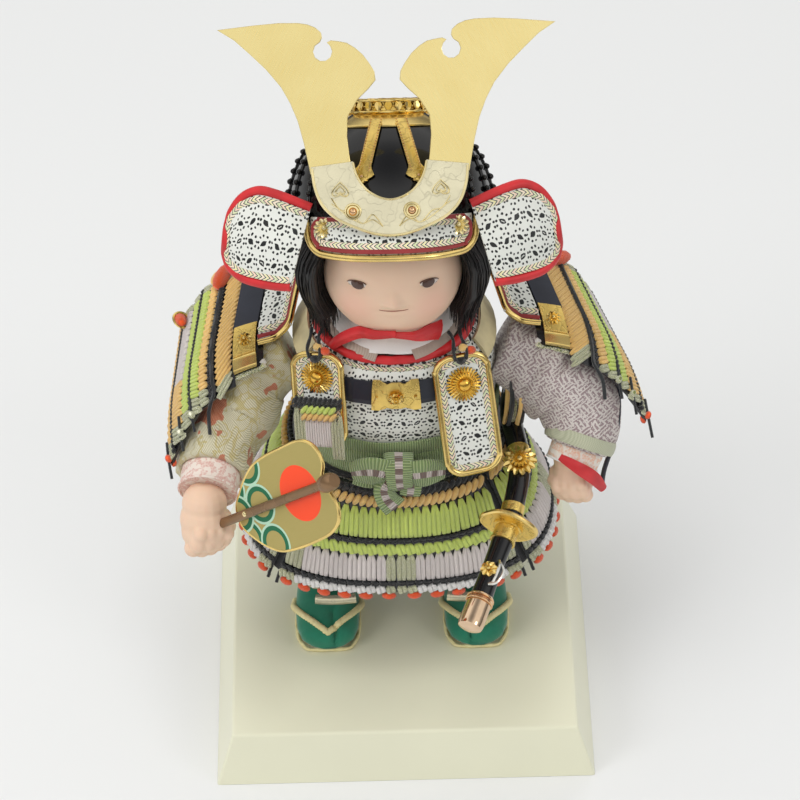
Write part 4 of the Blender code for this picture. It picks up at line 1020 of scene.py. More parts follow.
def crest():
    dressed("horn_holder", PALE_ENGRAVED, 0.0003, 50)
    dressed("horn_right", HORN_RIGHT, 0.0003, 50)
    dressed("horn_left", HORN_LEFT, 0.0003, 50)
    face = helmet_way(0, -1, 0)
    bits = Bits()
    petals = []
    beads = []
    for side, word in SIDES:
        dressed("crest_strip_" + word, GILT_ENGRAVED, 0.0002, 50)
        path, ups = [], []
        r = BOWL_R + 0.0014
        for z in spread(0.044, 0.0125, 26):
            x = side * (0.0062 + (0.044 - z) * 0.27)
            at = Vector((x, -sqrt(r * r - x * x - z * z), z))
            path.append(HELMET @ at)
            ups.append(HELMET.to_3x3() @ at.normalized())
        ribbon(Bits(), path, ups, strap_width, 0.0009, 0.0004).make("crest_strap_" + word, GILT_ENGRAVED)
        for edge in (-1, 1):
            for p, q, up in zip(path[:20], path[1:], ups):
                off = up.cross(q - p).normalized() * (edge * 0.0026)
                beads.append((p + off + up * 0.001, up.orthogonal(), up, (0.0008, 0.0008, 0.0008), 0.0))
        x, z = side * 0.0138, 0.017
        r = BOWL_R + 0.0013
        at = Vector((x, -sqrt(r * r - x * x - z * z), z))
        more, button = rosette(HELMET @ at, helmet_way(*at), 0.0036, 8, 0.0012)
        petals.extend(more)
        beads.append(button)
        hub = helmet_spot(side * 14.4 - 4.2, 0.6, 0.0)
        for r, lift, thick in ((0.0036, 0.0002, 0.0006), (0.0024, 0.0008, 0.0007)):
            ring = circle(24, r, helmet_way(1, side * 0.08, 0), helmet_way(0, 0, 1), hub + face * lift)
            rod(bits, ring, thick, 6, closed=True)
        beads.append((hub + face * 0.0008, helmet_way(1, 0, 0), face, (0.0036, 0.0036, 0.0026), 0.0))
        for size in (1.0, 0.56):
            heart = []
            for a in around(32):
                hx = 4.0 * sin(a) ** 3
                hz = -3.2 * cos(a) + 1.3 * cos(2 * a) + 0.5 * cos(3 * a)
                heart.append(helmet_spot(side * 24.6 + size * hx, 11.0 + size * hz, 0.0002))
            rod(bits, heart, 0.00042, 6, closed=True)
        for bend in (0.0, 2.6):
            scroll = [(4.0, -7.0), (9.0, -3.6 + bend), (14.0, -5.4), (20.0, -2.4 + bend), (25.0, 1.6),
                      (29.0, 4.6 + bend)]
            rod(bits, smooth_path([helmet_spot(side * x, z, 0.0001) for x, z in scroll], 30), 0.00032, 5)
    edge = []
    for x, z in ((-38.1, 22.0), (-37.0, 13.0), (-33.6, 4.2), (-26.8, -2.6), (-17.0, -7.4), (-8.4, -10.4),
                 (0.0, -11.4), (8.4, -10.4), (17.0, -7.4), (26.8, -2.6), (33.6, 4.2), (37.0, 13.0),
                 (38.1, 22.0)):
        edge.append(helmet_spot(x, z))
    rod(bits, smooth_path(edge, 60), 0.0007, 6)
    inner = [(-18.0, 24.6), (-16.9, 19.8), (-14.9, 15.4), (-11.8, 11.4), (-8.3, 8.8), (-4.2, 6.9),
             (0.0, 6.2)]
    inner += [(-x, z) for x, z in reversed(inner[:-1])]
    rod(bits, smooth_path([helmet_spot(x, z) for x, z in inner], 50), 0.0006, 6)
    bits.make("holder_edges_and_rings", PALE_GILT)
    set_out("crest_petals", petals, PETAL, GILT)
    set_out("crest_beads", beads, BEAD, ROSE_GILT)
    return len(beads)


print("crest beads:", crest())

# %% [markdown]
# Visor and turned-back flaps are stiff leather, edged first by a braid of chevrons, then by red piping or a
# gilt rim. Each is a sheet between two offsets of one surface, and the edgings are strips and rods led along
# that surface, so they sit on the leather from every side.

# %% Visor
VISOR_TURN = radians(50.0)


def visor_point(across, down, out=0.0):
    turned = VISOR_TURN * across
    top_r = BOWL_R + 0.0005
    top = Vector((top_r * sin(turned), -top_r * cos(turned), -0.003))
    low = Vector((0.04 * sin(turned) / sin(VISOR_TURN),
                  -0.035 - 0.025 * cos(turned * 1.65), -0.0211 + 0.004 * abs(across) ** 3))
    p = top + (low - top) * down
    lift = Vector((0, -1, 0.35)).normalized()
    return HELMET @ (p + lift * (0.0006 * sin(pi * down) + out))


def rounded(a0, a1, b0, b1, ra, rb, steps=5):
    """(a, b) round a rectangle whose corners are quarter ovals; starts at the low left."""
    made = []
    for ca, cb, first in ((a1 - ra, b1 - rb, 0), (a0 + ra, b1 - rb, 90), (a0 + ra, b0 + rb, 180),
                          (a1 - ra, b0 + rb, 270)):
        for k in range(steps + 1):
            t = radians(first + 90 * k / steps)
            made.append((ca + ra * cos(t), cb + rb * sin(t)))
    return made


def led(point, pairs, out, count, closed=False):
    """A line on a surface, evenly stepped, with the surface's own up at each point."""
    flat = smooth_path([Vector((a, b, 0)) for a, b in pairs], count, closed)
    return on_surface(point, [(p.x, p.y) for p in flat], out)


def visor():
    slab(Bits(), visor_point, spread(-1, 1, 41), spread(0, 1, 9), 0.0, 0.0016).make(
        "visor_leather", SPOTTED, "visor", 60, slot="spotted_leather")
    braid = Bits()
    line = Bits()
    for inset, width, paint_bits, lift in ((0.05, 0.0032, braid, 0.0017), (0.0, 0.003, line, 0.0015)):
        pairs = rounded(-0.95 + inset, 0.95 - inset, 0.1 + inset * 2.4, 0.92 - inset * 2.4, 0.17, 0.3)
        path, ups = led(visor_point, pairs, lift, 150, True)
        ribbon(paint_bits, path, ups, width, 0.0006, closed=True)
    braid.make("visor_braid", CHEVRON)
    line.make("visor_line", DARK_RED)
    away = 0.002
    rim = []
    corner = [(-1.0 + 0.2 * (1 - cos(t)), 0.62 + 0.38 * sin(t)) for t in spread(0.0, pi / 2, 6)]
    trace = [(-1.0, 0.08), (-1.0, 0.35)] + corner + [(a, 1.0) for a in spread(-0.65, 0.65, 15)]
    trace += [(-a, b) for a, b in reversed(corner)] + [(1.0, 0.35), (1.0, 0.08)]
    for a, b in trace:
        off = helmet_way(a * away * max(0.0, 1.4 - b), 0, -away * max(0.0, (b - 0.6) / 0.4))
        rim.append(visor_point(a, b, 0.001) + off)
    rod(Bits(), smooth_path(rim, 120), 0.0017, 14).make(
        "visor_rim_tube", GILT, "visor_rim", slot="gilt_metal")
    petals = []
    buttons = []
    for side in (-1, 1):
        at = visor_point(side * 0.79, 0.36, 0.0023)
        more, button = rosette(at, outward(visor_point, side * 0.79, 0.36), 0.0052, 12, 0.0013)
        petals.extend(more)
        buttons.append(button)
    set_out("visor_rosettes", petals, PETAL, PALE_GILT)
    set_out("visor_rosette_buttons", buttons, BEAD, PALE_GILT)
    return len(petals)


print("visor petals:", visor())

# %% Turned-back flaps
# the upper edge and the lower edge, as x and z from the neck outwards, in millimetres
TURNBACK = ((39.5, 48.0, 57.0, 65.0, 73.0, 78.6, 80.8), (2.0, 5.8, 9.4, 11.0, 7.8, 0.5, -6.5),
            (50.5, 57.0, 63.5, 70.5, 76.5, 80.8, 82.4), (-36.6, -36.2, -35.2, -33.6, -31.0, -26.0, -20.0))


def turnback_point(side, across, down, out=0.0):
    top_x, top_z, low_x, low_z = (between(row, across) for row in TURNBACK)
    x = (top_x + down * (low_x - top_x)) / MM
    z = (top_z + down * (low_z - top_z)) / MM
    away = x - 0.039
    y = -0.0374 + 9.0 * away * away - 0.004 * sin(pi * max(0.0, min(1.0, down)))
    slope = 18.0 * away
    out_way = Vector((side * slope, -1.0, 0.0)).normalized()
    return HELMET @ (Vector((side * x, y, z)) + out_way * out)


def turnback(side, word):
    def point(a, b, out):
        return turnback_point(side, a, b, out)

    slab(Bits(), point, spread(0, 1, 25), spread(0, 1, 17), 0.0, 0.0018).make(
        "turnback_leather_" + word, SPOTTED, "turnback_" + word, 60, slot="spotted_leather")
    bits = Bits()
    pairs = [(0.03, 0.09), (0.3, 0.09), (0.6, 0.09), (0.8, 0.1), (0.9, 0.18), (0.925, 0.4), (0.925, 0.65),
             (0.9, 0.84), (0.8, 0.91), (0.6, 0.92), (0.3, 0.92), (0.03, 0.92)]
    path, ups = led(point, pairs, 0.0019, 130)
    ribbon(bits, path, ups, 0.0032, 0.0006)
    bits.make("turnback_braid_" + word, CHEVRON)
    bits = Bits()
    pairs = [(0.0, 0.0), (0.16, 0.0), (0.33, 0.0), (0.5, 0.0), (0.66, 0.0), (0.82, 0.0), (0.95, 0.01),
             (1.0, 0.1), (1.0, 0.35), (1.0, 0.65), (1.0, 0.9), (0.95, 1.0), (0.8, 1.0), (0.6, 1.0),
             (0.4, 1.0), (0.2, 1.0), (0.0, 1.0)]
    path = smooth_path([point(a, b, 0.0009) for a, b in pairs], 110)
    rod(bits, path, 0.0025, 12)
    bits.make("turnback_piping_" + word, RED_SILK, slot="red_piping")


for side, word in SIDES:
    turnback(side, word)
print("turn-backs made")

# %% [markdown]
# The neck guard hangs round the back in four curved iron plates, each laced to the one above with rows of
# silk: a row of loops, then a chain stitch along the plate's edge. Nobody sees it in the photograph, so it
# follows the laced skirt.

# %% Neck guard
def lace_row(point, a0, a1, b0, b1, out, dye, wide, deep=0.0026, link_lean=0.0):
    """Loops side by side from a0 to a1, each from b0 down to b1; point(a, b, out) is the surface."""
    steps = [Vector(point(a0 + (a1 - a0) * k / 24, (b0 + b1) / 2, out)) for k in range(25)]
    count = max(1, round(line_length(steps) / wide))
    tall = (Vector(point((a0 + a1) / 2, b1, out)) - Vector(point((a0 + a1) / 2, b0, out))).length
    pitch = line_length(steps) / count
    places = []
    for k in range(count):
        a = a0 + (a1 - a0) * (k + 0.5) / count
        b = (b0 + b1) / 2
        at = Vector(point(a, b, out))
        across = Vector(point(a + 0.001 * (1 if a1 > a0 else -1), b, out)) - at
        down = Vector(point(a, b1, out)) - Vector(point(a, b0, out))
        outward = across.cross(down)
        if outward.dot(Vector(point(a, b, out + 0.001)) - at) < 0:
            outward = -outward
            across = -across
        across = across + down.normalized() * (link_lean * across.length)
        tone = dye(a) if callable(dye) else dye
        places.append((at, across, outward, (pitch * 1.02, tall, deep), tone))
    return places


def stitch_row(point, a0, a1, b, out, dye, pitch, tall, deep=0.0018):
    """A chain or a laid cord along the surface at height b."""
    steps = [Vector(point(a0 + (a1 - a0) * k / 30, b, out)) for k in range(31)]
    count = max(2, round(line_length(steps) / pitch))
    places = []
    for k in range(count):
        a = a0 + (a1 - a0) * (k + 0.5) / count
        at = Vector(point(a, b, out))
        across = Vector(point(a + 0.002, b, out)) - at
        outward = Vector(point(a, b, out + 0.001)) - at
        tone = dye(a) if callable(dye) else dye
        places.append((at, across, outward, (pitch * 1.1, tall, deep), tone))
    return places


GUARD_TIERS = 3


def neck_guard_point(turned, down, out=0.0):
    step = (down * GUARD_TIERS) % 1.0 if 0 < down < 1 else min(1.0, max(0.0, down))
    z = BOWL_FOOT_Z - 0.0005 - down * 0.015
    r = BOWL_R - 0.0008 + down * 0.009 + 0.0006 * step + out
    return HELMET @ Vector((r * sin(turned), -r * cos(turned), z))


BOWL_FOOT_Z = -0.008


def neck_guard():
    bits = Bits()
    turns = spread(radians(82), radians(278), 60)
    slab(bits, neck_guard_point, turns, spread(0, 1, 10), 0.0, 0.0019)
    bits.make("neck_guard_plates", BLACK_IRON, "neck_guard", 50, slot="black_lacquer")
    loops = []
    chains = []
    a0, a1 = turns[0] + 0.03, turns[-1] - 0.03
    for tier, dye in enumerate((LIME, ROSE, WHITE)):
        top = tier / GUARD_TIERS
        loops += lace_row(neck_guard_point, a0, a1, top + 0.03, top + 0.25, 0.0019, dye, 0.0042, 0.0024)
        chains += stitch_row(neck_guard_point, a0, a1, top + 0.3, 0.002, BLACK, 0.0022, 0.0015)
    set_out("neck_guard_loops", loops, LACE, SILK)
    set_out("neck_guard_chains", chains, CHAIN, SILK)
    return len(loops) + len(chains)


print("neck guard stitches:", neck_guard())

# %% [markdown]
# The face is a soft round form under a matt skin coat: full cheeks, a small nose, a short chin and a thin
# closed mouth. It is a grid of directions pushed in and out by a few gentle bumps, and the eyes are inset
# lenses under a lid line. A little rose warms the cheeks.

# %% Skin
HEAD_AT = Vector((0.0, 0.006, 0.268))
HEAD_R = (0.0355, 0.034, 0.037)


def skin():
    p = Paint("doll_skin", 0.48, subsurface_weight=0.08, subsurface_scale=0.004)
    x, y, z = p.place()
    soft = p.noise(45.0, 2.0)
    base = p.mix(soft, (0.8, 0.56, 0.4), (0.83, 0.59, 0.43))
    warm = 0.0
    for side in (-1, 1):
        dx, dy, dz = x - side * 19.0, y + 22.0, z - 264.0
        warm = warm + (1.0 - ((dx * dx + dy * dy + dz * dz).root()).step(3.0, 16.0)) * 0.55
    p.colour(p.mix(warm, base, (0.8, 0.44, 0.33)))
    p.rough(soft * 0.12 + 0.42)
    p.bump(p.noise(500.0), 0.015, 0.5)
    return p


SKIN = skin()
EYE_DARK = lacquer("eye_brown", (0.06, 0.02, 0.01), 0.1)
EYE_WHITE = lacquer("eye_white", (0.7, 0.62, 0.56), 0.3)
LIP = leather("lip_line", (0.4, 0.15, 0.1), 0.5)
BROW = leather("lid_line", (0.16, 0.075, 0.05), 0.6)


# the face's gentle bumps: degrees across and down, how wide and tall, and the lift in millimetres;
# one that is off the middle is there on both sides
BUMPS = ((0, -7, 4.6, 5.5, 2.6),         # bridge of the nose
         (0, -3, 6.6, 2.6, 2.2),         # tip of the nose
         (6.5, -2.6, 2.6, 1.9, 0.8),     # sides of the nose
         (3.4, -0.9, 1.6, 0.9, -0.5),    # nostrils
         (0, 8.8, 8, 3, 0.45),           # lower lip
         (0, 4.6, 12, 1.3, -0.5),        # line of the mouth
         (13.5, 3, 3, 2.2, -0.35),       # corners of the mouth
         (0, 26, 15, 9, 0.8),            # chin
         (34, 8, 18, 17, 1.2),           # cheeks
         (33, -17, 13, 6, -0.9),         # eyes
         (33, -26, 15, 6, 0.3))          # brows


def face_point(across, down, out=0.0):
    """On the face: degrees across and down from straight ahead, with its features."""
    a, d = radians(across), radians(down)
    way = Vector((sin(a) * cos(d), -cos(a) * cos(d), -sin(d)))
    reach = 1 / sqrt(sum((way[i] / HEAD_R[i]) ** 2 for i in range(3)))
    mm = sum(lift * exp(-((across - side * x) / wide) ** 2 - ((down - y) / tall) ** 2)
             for x, y, wide, tall, lift in BUMPS for side in ((-1, 1) if x else (1,)))
    return HEAD_AT + way * (reach + mm / MM + out)


def face_ring(down):
    return [face_point(360.0 * k / 128 - 180.0, down) for k in range(128)]


def head():
    rows = [face_ring(d) for d in spread(-88.0, 74.0, 96)]
    bits = Bits().grid(rows, wrap=True)
    bits.grid([rows[0], face_ring(-89.5)], wrap=True)
    throat = []
    for z, r in ((0.2335, 0.012), (0.229, 0.0128), (0.2266, 0.0129)):
        throat.append([Vector((-r * sin(a), 0.012 + r * cos(a), z)) for a in around(128)])
    bits.grid([rows[-1]] + throat, wrap=True)
    bits.make("head_and_neck", SKIN, "head", 180, slot="doll_skin")


def almond(side, across, down, tall, wide, steps=22):
    """Directions round an eye: a flat upper lid and a fuller lower one."""
    made = []
    for t in around(steps):
        up = sin(t)
        made.append((side * (across + wide * cos(t)),
                     down - tall * (up if up < 0 else up * 0.85) * abs(sin(t)) ** 0.2 + 0.9 * cos(t)))
    return made


def lid(side, middle, tall, half, slope, turns, out):
    """A lid's line: an arch over the eye that leans a little."""
    arch = [(w, middle + tall * sqrt(max(0.0, 1 - (w / half) ** 2)) + slope * w) for w in turns]
    return [face_point(side * (33.5 + w), d, out) for w, d in arch]


def lid_width(share):
    return 0.00014 + 0.00026 * sin(pi * min(1, 0.12 + share * 0.8))


def features():
    whites, darks, lids, lips = Bits(), Bits(), Bits(), Bits()
    for side in (-1, 1):
        ring = almond(side, 33.5, -17.2, 3.3, 9.0)
        x, z = side * 33.5, -17.2
        rings = [[face_point(x + (a - x) * share, z + (d - z) * share, out) for a, d in ring]
                 for share, out in ((1.0, -0.0006), (1.0, 0.0001), (0.5, 0.0006), (0.05, 0.0008))]
        whites.grid(rings, wrap=True, caps=True)
        eye_at = (side * 32.6, -17.4)
        rings = []
        for share, out in ((1.0, 0.0002), (1.0, 0.0007), (0.6, 0.0011), (0.08, 0.0012)):
            rings.append([face_point(eye_at[0] + 6.2 * share * cos(t),
                                     max(-20.1, eye_at[1] + 4.0 * share * sin(t)), out)
                          for t in around(20)])
        darks.grid(rings, wrap=True, caps=True)
        rod(lids, lid(side, -17.9, -2.2, 9.2, 0.16, spread(-9.2, 9.4, 18), 0.0004), lid_width, 8)
        rod(lids, lid(side, -17.0, 2.4, 9.0, 0.12, spread(-7.8, 7.8, 14), 0.0001), 0.00012, 6)
    line = [face_point(a, 4.7 + 0.9 * abs(a / 13.0) ** 2 * -1.4, 0.0001) for a in spread(-12.4, 12.4, 25)]
    rod(lips, line, lambda s: 0.00014 + 0.00018 * sin(pi * s), 8)
    whites.make("eye_whites", EYE_WHITE)
    darks.make("eye_pupils", EYE_DARK)
    lids.make("lid_lines", BROW)
    lips.make("mouth_line", LIP)


head()
features()

# %% [markdown]
# Hair is silk floss: each side lock is a bundle of black strands of uneven length, over a dark core that
# keeps the lock closed. Each strand is a thin tapering rod with its own sway, drawn from one fixed seed.

# %% Hair
def hair_finish():
    p = Paint("black_hair", 0.38)
    tone = p.flag("tone")
    x, y, z = p.place()
    streak = p.noise(1.0, 2.0, p.vector(x * 1.2, y * 1.2, z * 0.03))
    p.colour(p.mix(streak.step(0.4, 0.75), (0.004, 0.0035, 0.004), (0.02, 0.017, 0.016)))
    p.rough(streak * 0.2 + tone * 0.1 + 0.3)
    p.bump(streak, 0.05, 0.5)
    return p


HAIR = hair_finish()
STRANDS = 330


def temple(z, least):
    """How far the head reaches to its side at height z."""
    up = (z - HEAD_AT.z) / HEAD_R[2]
    return max(HEAD_R[0] * sqrt(max(0.0, 1 - up * up)), least)


def side_hair(side, word):
    draw = random.Random(11 + side)
    bits = Bits()
    core = []
    for z, thick, deep in ((0.288, 0.005, 0.012), (0.274, 0.0052, 0.015), (0.258, 0.0052, 0.0155),
                           (0.246, 0.0042, 0.0145)):
        near = temple(z, 0.03) + 0.0008
        core.append([Vector((side * (near + thick + thick * sin(a)), 0.004 - deep * cos(a), z))
                     for a in around(24)])
    bits.grid(core, wrap=True, caps=True)
    for _ in range(STRANDS):
        turned = draw.uniform(0, 2 * pi)
        full = draw.uniform(0.55, 1.0)
        foot = draw.uniform(0.2318, 0.24) + 0.008 * draw.random() ** 3
        sway = draw.uniform(-0.0015, 0.0015)
        path = []
        for t in spread(0, 1, 7):
            z = 0.2885 + (foot - 0.2885) * t
            near = temple(z, 0.0295) + 0.0006
            x = near + 0.0066 + full * 0.0074 * sin(turned) + sway * t * t - 0.0012 * t
            y = 0.004 - full * (0.014 + 0.0028 * t) * cos(turned) + sway * sin(5 * t)
            path.append(Vector((side * x, y, z)))
        rod(bits, path, lambda s: 0.00034 * (1 - 0.7 * s ** 4), 4, tone=draw.random())
    bits.make("side_lock_" + word, HAIR, "side_hair_" + word, 60, slot="black_hair")


for side, word in SIDES:
    side_hair(side, word)
print("strands a side:", STRANDS)

# %% Collar and chin cord
def cloth(name, light, dark, pitch=0.5, rough=0.8):
    """Plain weave by object coordinates."""
    p = Paint(name, rough, sheen_weight=0.2)
    x, y, z = p.place()
    k = 2 * pi / pitch
    weave = ((x + y) * k).sin() * ((z + y * 0.4) * k).sin()
    cloud = p.noise(35.0, 2.0)
    p.colour(p.mix(weave * 0.25 + cloud * 0.7, dark, light))
    p.rough(cloud * 0.1 + (rough - 0.05))
    p.bump(weave, 0.07, 0.7)
    return p


WHITE_CLOTH = cloth("collar_cloth", (0.95, 0.94, 0.91), (0.84, 0.83, 0.8), 0.45)
STRIPED_COLLAR = cloth("collar_brocade", (0.66, 0.58, 0.48), (0.3, 0.22, 0.18), 0.9)
# the chin cord's two ends, each a route and its widths
CHIN = {RIGHT: (((0.001, -0.0262, 0.2489), (-0.0095, -0.0232, 0.2463), (-0.0176, -0.0165, 0.2424),
                 (-0.0271, -0.012, 0.2341), (-0.0318, -0.01, 0.2278)),
                (0.0034, 0.005, 0.0066, 0.0062, 0.0046)),
        LEFT: (((-0.002, -0.0256, 0.2482), (0.0105, -0.0215, 0.2434), (0.018, -0.016, 0.241),
                (0.0226, -0.01, 0.2372)),
               (0.003, 0.0042, 0.0082, 0.0106))}


def collar():
    """Crossed collars, left over right: white ones inside, and striped ones that leave the front open."""
    inner, outer = Bits(), Bits()
    for bits, first, reach, wide, lift in ((inner, -24.0, 0.0272, 0.015, 0.001),
                                           (outer, 15.0, 0.0308, 0.011, 0.0004)):
        for side in (-1, 1):
            over = 0.0007 if side > 0 else 0.0
            path, ups = [], []
            for t in spread(radians(first), radians(175.0), 40):
                fall = max(0.0, 1 - (t - radians(first)) / 0.9) ** 1.5
                r = reach + fall * 0.003
                z = 0.2312 - (r - 0.029) * 0.75 + lift + over + 0.001 * (1 - cos(t))
                path.append(Vector((side * r * sin(t), 0.014 - r * cos(t) * 0.98, z)))
                ups.append(Vector((side * sin(t) * 0.6, -cos(t) * 0.6, 0.8)).normalized())
            ribbon(bits, path, ups, lambda s, wide=wide: wide * (0.72 + 0.28 * min(1.0, s * 4)), 0.001,
                   0.0004)
    for bits, name, paint, node, slot, wide in (
            (inner, "collar_white", WHITE_CLOTH, "inner_collar", "collar_cloth", 0.015),
            (outer, "collar_striped", STRIPED_COLLAR, (), None, 0.011)):
        bits.make(name, paint, node, slot=slot)
    bits = Bits()
    for side, (points, widths) in CHIN.items():
        path = smooth_path(points, 30)
        for fold in (0, 1):
            shifted = [p + Vector((0, -0.0007, 0.0011)) * (fold * i / 29) for i, p in enumerate(path)]
            ups = [Vector((side * 0.45 * i / 29, -0.8, 0.3)).normalized() for i in range(30)]
            ribbon(bits, shifted, ups, lambda s, fold=fold: between(widths, s) * (1 - 0.3 * fold), 0.0013,
                   0.0008)
    bits.make("chin_cord_silk", RED_SILK, "chin_cord", slot="red_piping")


collar()
print("collars and chin cord made")

# %% [markdown]
# The cuirass, its bands and the chest plates all follow the body's own section: an oval whose half width and
# half depth change with height. The same rule that placed the solids places the dressing here.

# %% Body surface
BODY_Y = 0.02
BODY_POWER = 2.2
BODY = ((0.118, 0.044, 0.04), (0.14, 0.047, 0.043), (0.16, 0.05, 0.0462),
        (0.185, 0.053, 0.048), (0.205, 0.052, 0.047), (0.215, 0.049, 0.044), (0.2215, 0.043, 0.04),
        (0.23, 0.038, 0.036))


def power(value, exponent):
    return copysign(abs(value) ** exponent, value)


def body_size(z):
    for low, high in zip(BODY, BODY[1:]):
        if z <= high[0]:
            t = max(0.0, (z - low[0]) / (high[0] - low[0]))
            return low[1] + t * (high[1] - low[1]), low[2] + t * (high[2] - low[2])
    return BODY[-1][1:]


def body_point(turned, z, out=0.0):
    a, b = body_size(z)
    return Vector(((a + out) * power(sin(turned), 2 / BODY_POWER),
                   BODY_Y - (b + out) * power(cos(turned), 2 / BODY_POWER), z))


def neckline(turned):
    return 0.2215 + 0.006 * (1 - cos(turned)) / 2


def even_along(point, first, last, count, fine=400):
    """Turns whose points lie at even steps, because an oval bunches them."""
    turns = spread(first, last, fine)
    points = [point(t) for t in turns]
    want = line_length(points) / (count - 1)
    made = [first]
    gone = 0.0
    for i in range(1, fine):
        gone += (points[i] - points[i - 1]).length
        if gone >= want * len(made) and len(made) < count - 1:
            made.append(turns[i])
    return made + [last]


def even_turns(first, last, count, z):
    return even_along(lambda t: body_point(t, z), first, last, count)


def cuirass():
    coat("cuirass", SPOTTED_BODY)
    bits = Bits()
    roll = [body_point(t, neckline(t), -0.001) + Vector((0, 0, 0.0036)) for t in
            even_turns(0, 2 * pi, 121, z=0.2215)[:-1]]
    cord(bits, roll, 0.0026, 0.0013, 3, 12, closed=True)
    bits.make("neck_roll_silk", RED_SILK, "neck_roll", slot="red_piping")
    bits = Bits()
    turns = even_turns(-1.02, 1.02, 60, z=0.21)
    path = [body_point(t, neckline(t) - 0.0008, 0.0006) for t in turns]
    ups = [outward(body_point, t, 0.218) for t in turns]
    ribbon(bits, path, ups, 0.0026, 0.0007)
    bits.make("neckline_braid", CHEVRON)
    coat("chest_band", NAVY)
    dressed("chest_plaque", GILT_ENGRAVED, 0.0002, 40)
    front = Vector((0, BODY_Y - 0.0475 - 0.003, 0.20875))
    petals, button = rosette(front, (0, -1, -0.1), 0.0042, 12, 0.0012, 2)
    beads = [button]
    for x in (-0.01, 0.01):
        beads.append((front + Vector((x, 0.0008, 0.0)), (1, 0, 0), (0, -1, 0), (0.0016, 0.0016, 0.0012),
                      0.0))
    set_out("plaque_petals", petals, PETAL, GILT)
    set_out("plaque_beads", beads, BEAD, GILT)


cuirass()
print("cuirass dressed")

# %% [markdown]
# Two plates hang over the chest from the shoulders. Each has a gilt rim, a braid inside it, a stencilled
# field and a chrysanthemum boss. The doll's left one is long; the right one is short, with a laced piece
# hanging from its foot.

# %% Chest plates
def plate_frame(at, yaw, lean, roll):
    where = Matrix.Translation(at) @ Matrix.Rotation(radians(yaw), 4, "Z")
    return where @ Matrix.Rotation(radians(lean), 4, "X") @ Matrix.Rotation(radians(roll), 4, "Y")


def chest_plate(word, half, tall, at, yaw, lean, roll, boss_up, boss_r, laced=False):
    where = plate_frame(at, yaw, lean, roll)
    corner = half * 0.62

    def spot(x, z, out=0.0):
        return where @ Vector((x, -out, z))

    face = outward(spot, 0, 0)

    def edge(inset):
        round_ = corner - inset
        pairs = rounded(inset - half, half - inset, inset - tall / 2, tall / 2 - inset, round_, round_, 9)
        return smooth_path([spot(x, z) for x, z in pairs], 80, True)

    top = edge(0.0004)
    count = len(top)
    centre = spot(0, 0)
    field = Bits().grid([[p - face * 0.0016 for p in top], top], wrap=True)
    field.grid([[(p - centre) * s + centre for p in top] for s in (1.0, 0.5, 0.02)], wrap=True)
    # the front's pattern lies flat; the back and the spot under the boss are plain
    inverse = where.inverted()
    flat = [inverse @ p * 100 for p in field.points]
    field.uvs[count:] = [[(flat[i].x, flat[i].z) for i in corners] for corners in field.faces[count:]]
    last_row = range(len(field.points) - count, len(field.points))
    for corners in (last_row, range(count)[::-1]):
        field.face(list(corners), [(0.0, 0.0)] * count, 0, False)
    field.make("chest_plate_field_" + word, SPOTTED, "chest_plate_" + word, 50, slot="spotted_leather")
    rim = Bits()
    shown = edge(0.0009)
    if laced:
        own = [inverse @ p for p in shown]
        last = next(i for i in range(80) if own[i].x < 0 and own[i].z > -0.004 >= own[(i + 1) % 80].z)
        low = next(i for i in range(80) if own[i].x > 0 and own[i].z > 0.004 - tall / 2 >= own[i - 1].z)
        shown = (shown[low:] + shown[:last + 1]) if low > last else shown[low:last + 1]
    rod(rim, shown, 0.0017, 10, closed=not laced)
    rim.make("chest_plate_rim_" + word, GILT, slot="gilt_metal")
    braid = Bits()
    path = edge(0.0036)
    ribbon(braid, path, [face] * len(path), 0.0036, 0.0007, closed=True)
    braid.make("chest_plate_braid_" + word, CHEVRON)
    hub = spot(0, boss_up, 0.0006)
    petals, button = rosette(hub, face, boss_r, 30, 0.0016)
    more, _ = rosette(hub + face * 0.001, face, boss_r * 0.74, 24, 0.0018)
    set_out("chest_plate_petals_" + word, petals + more, PETAL, GILT)
    set_out("chest_plate_button_" + word,
            [(hub + face * 0.0022, button[1], face, (0.0068, 0.0068, 0.0034), 0.0)],
            BEAD, ORANGE_ENAMEL)
    loops = Bits()
    for side in (-1, 1):
        path = [spot(side * 0.0028, tall / 2 - 0.002, 0.0022), spot(side * 0.0034, tall / 2 + 0.003, 0.003),
                spot(side * 0.0022, tall / 2 + 0.009, 0.0004), spot(side * 0.003, tall / 2 + 0.012, -0.004)]
        cord(loops, smooth_path(path, 18), 0.001, 0.0009, 2, 8, tone=BLACK)
    blobs = [spot(0, tall / 2 - 0.0025, 0.0024)]
    loops.make("chest_plate_ties_" + word, SILK)
    knots = [(blobs[0], (1, 0, 0), face, (0.0052, 0.004, 0.0036), BLACK),
             (spot(0.002, tall / 2 + 0.0042, 0.0022), (1, 0.4, 0), face, (0.005, 0.0044, 0.0036), ORANGE),
             (spot(0.0058, tall / 2 + 0.002, 0.002), (1, -0.4, 0), face, (0.0056, 0.0044, 0.004), SCARLET)]
    set_out("chest_plate_knot_" + word, knots, BEAD, SILK)
    if laced:
        lace_plate(word, spot, half, tall)


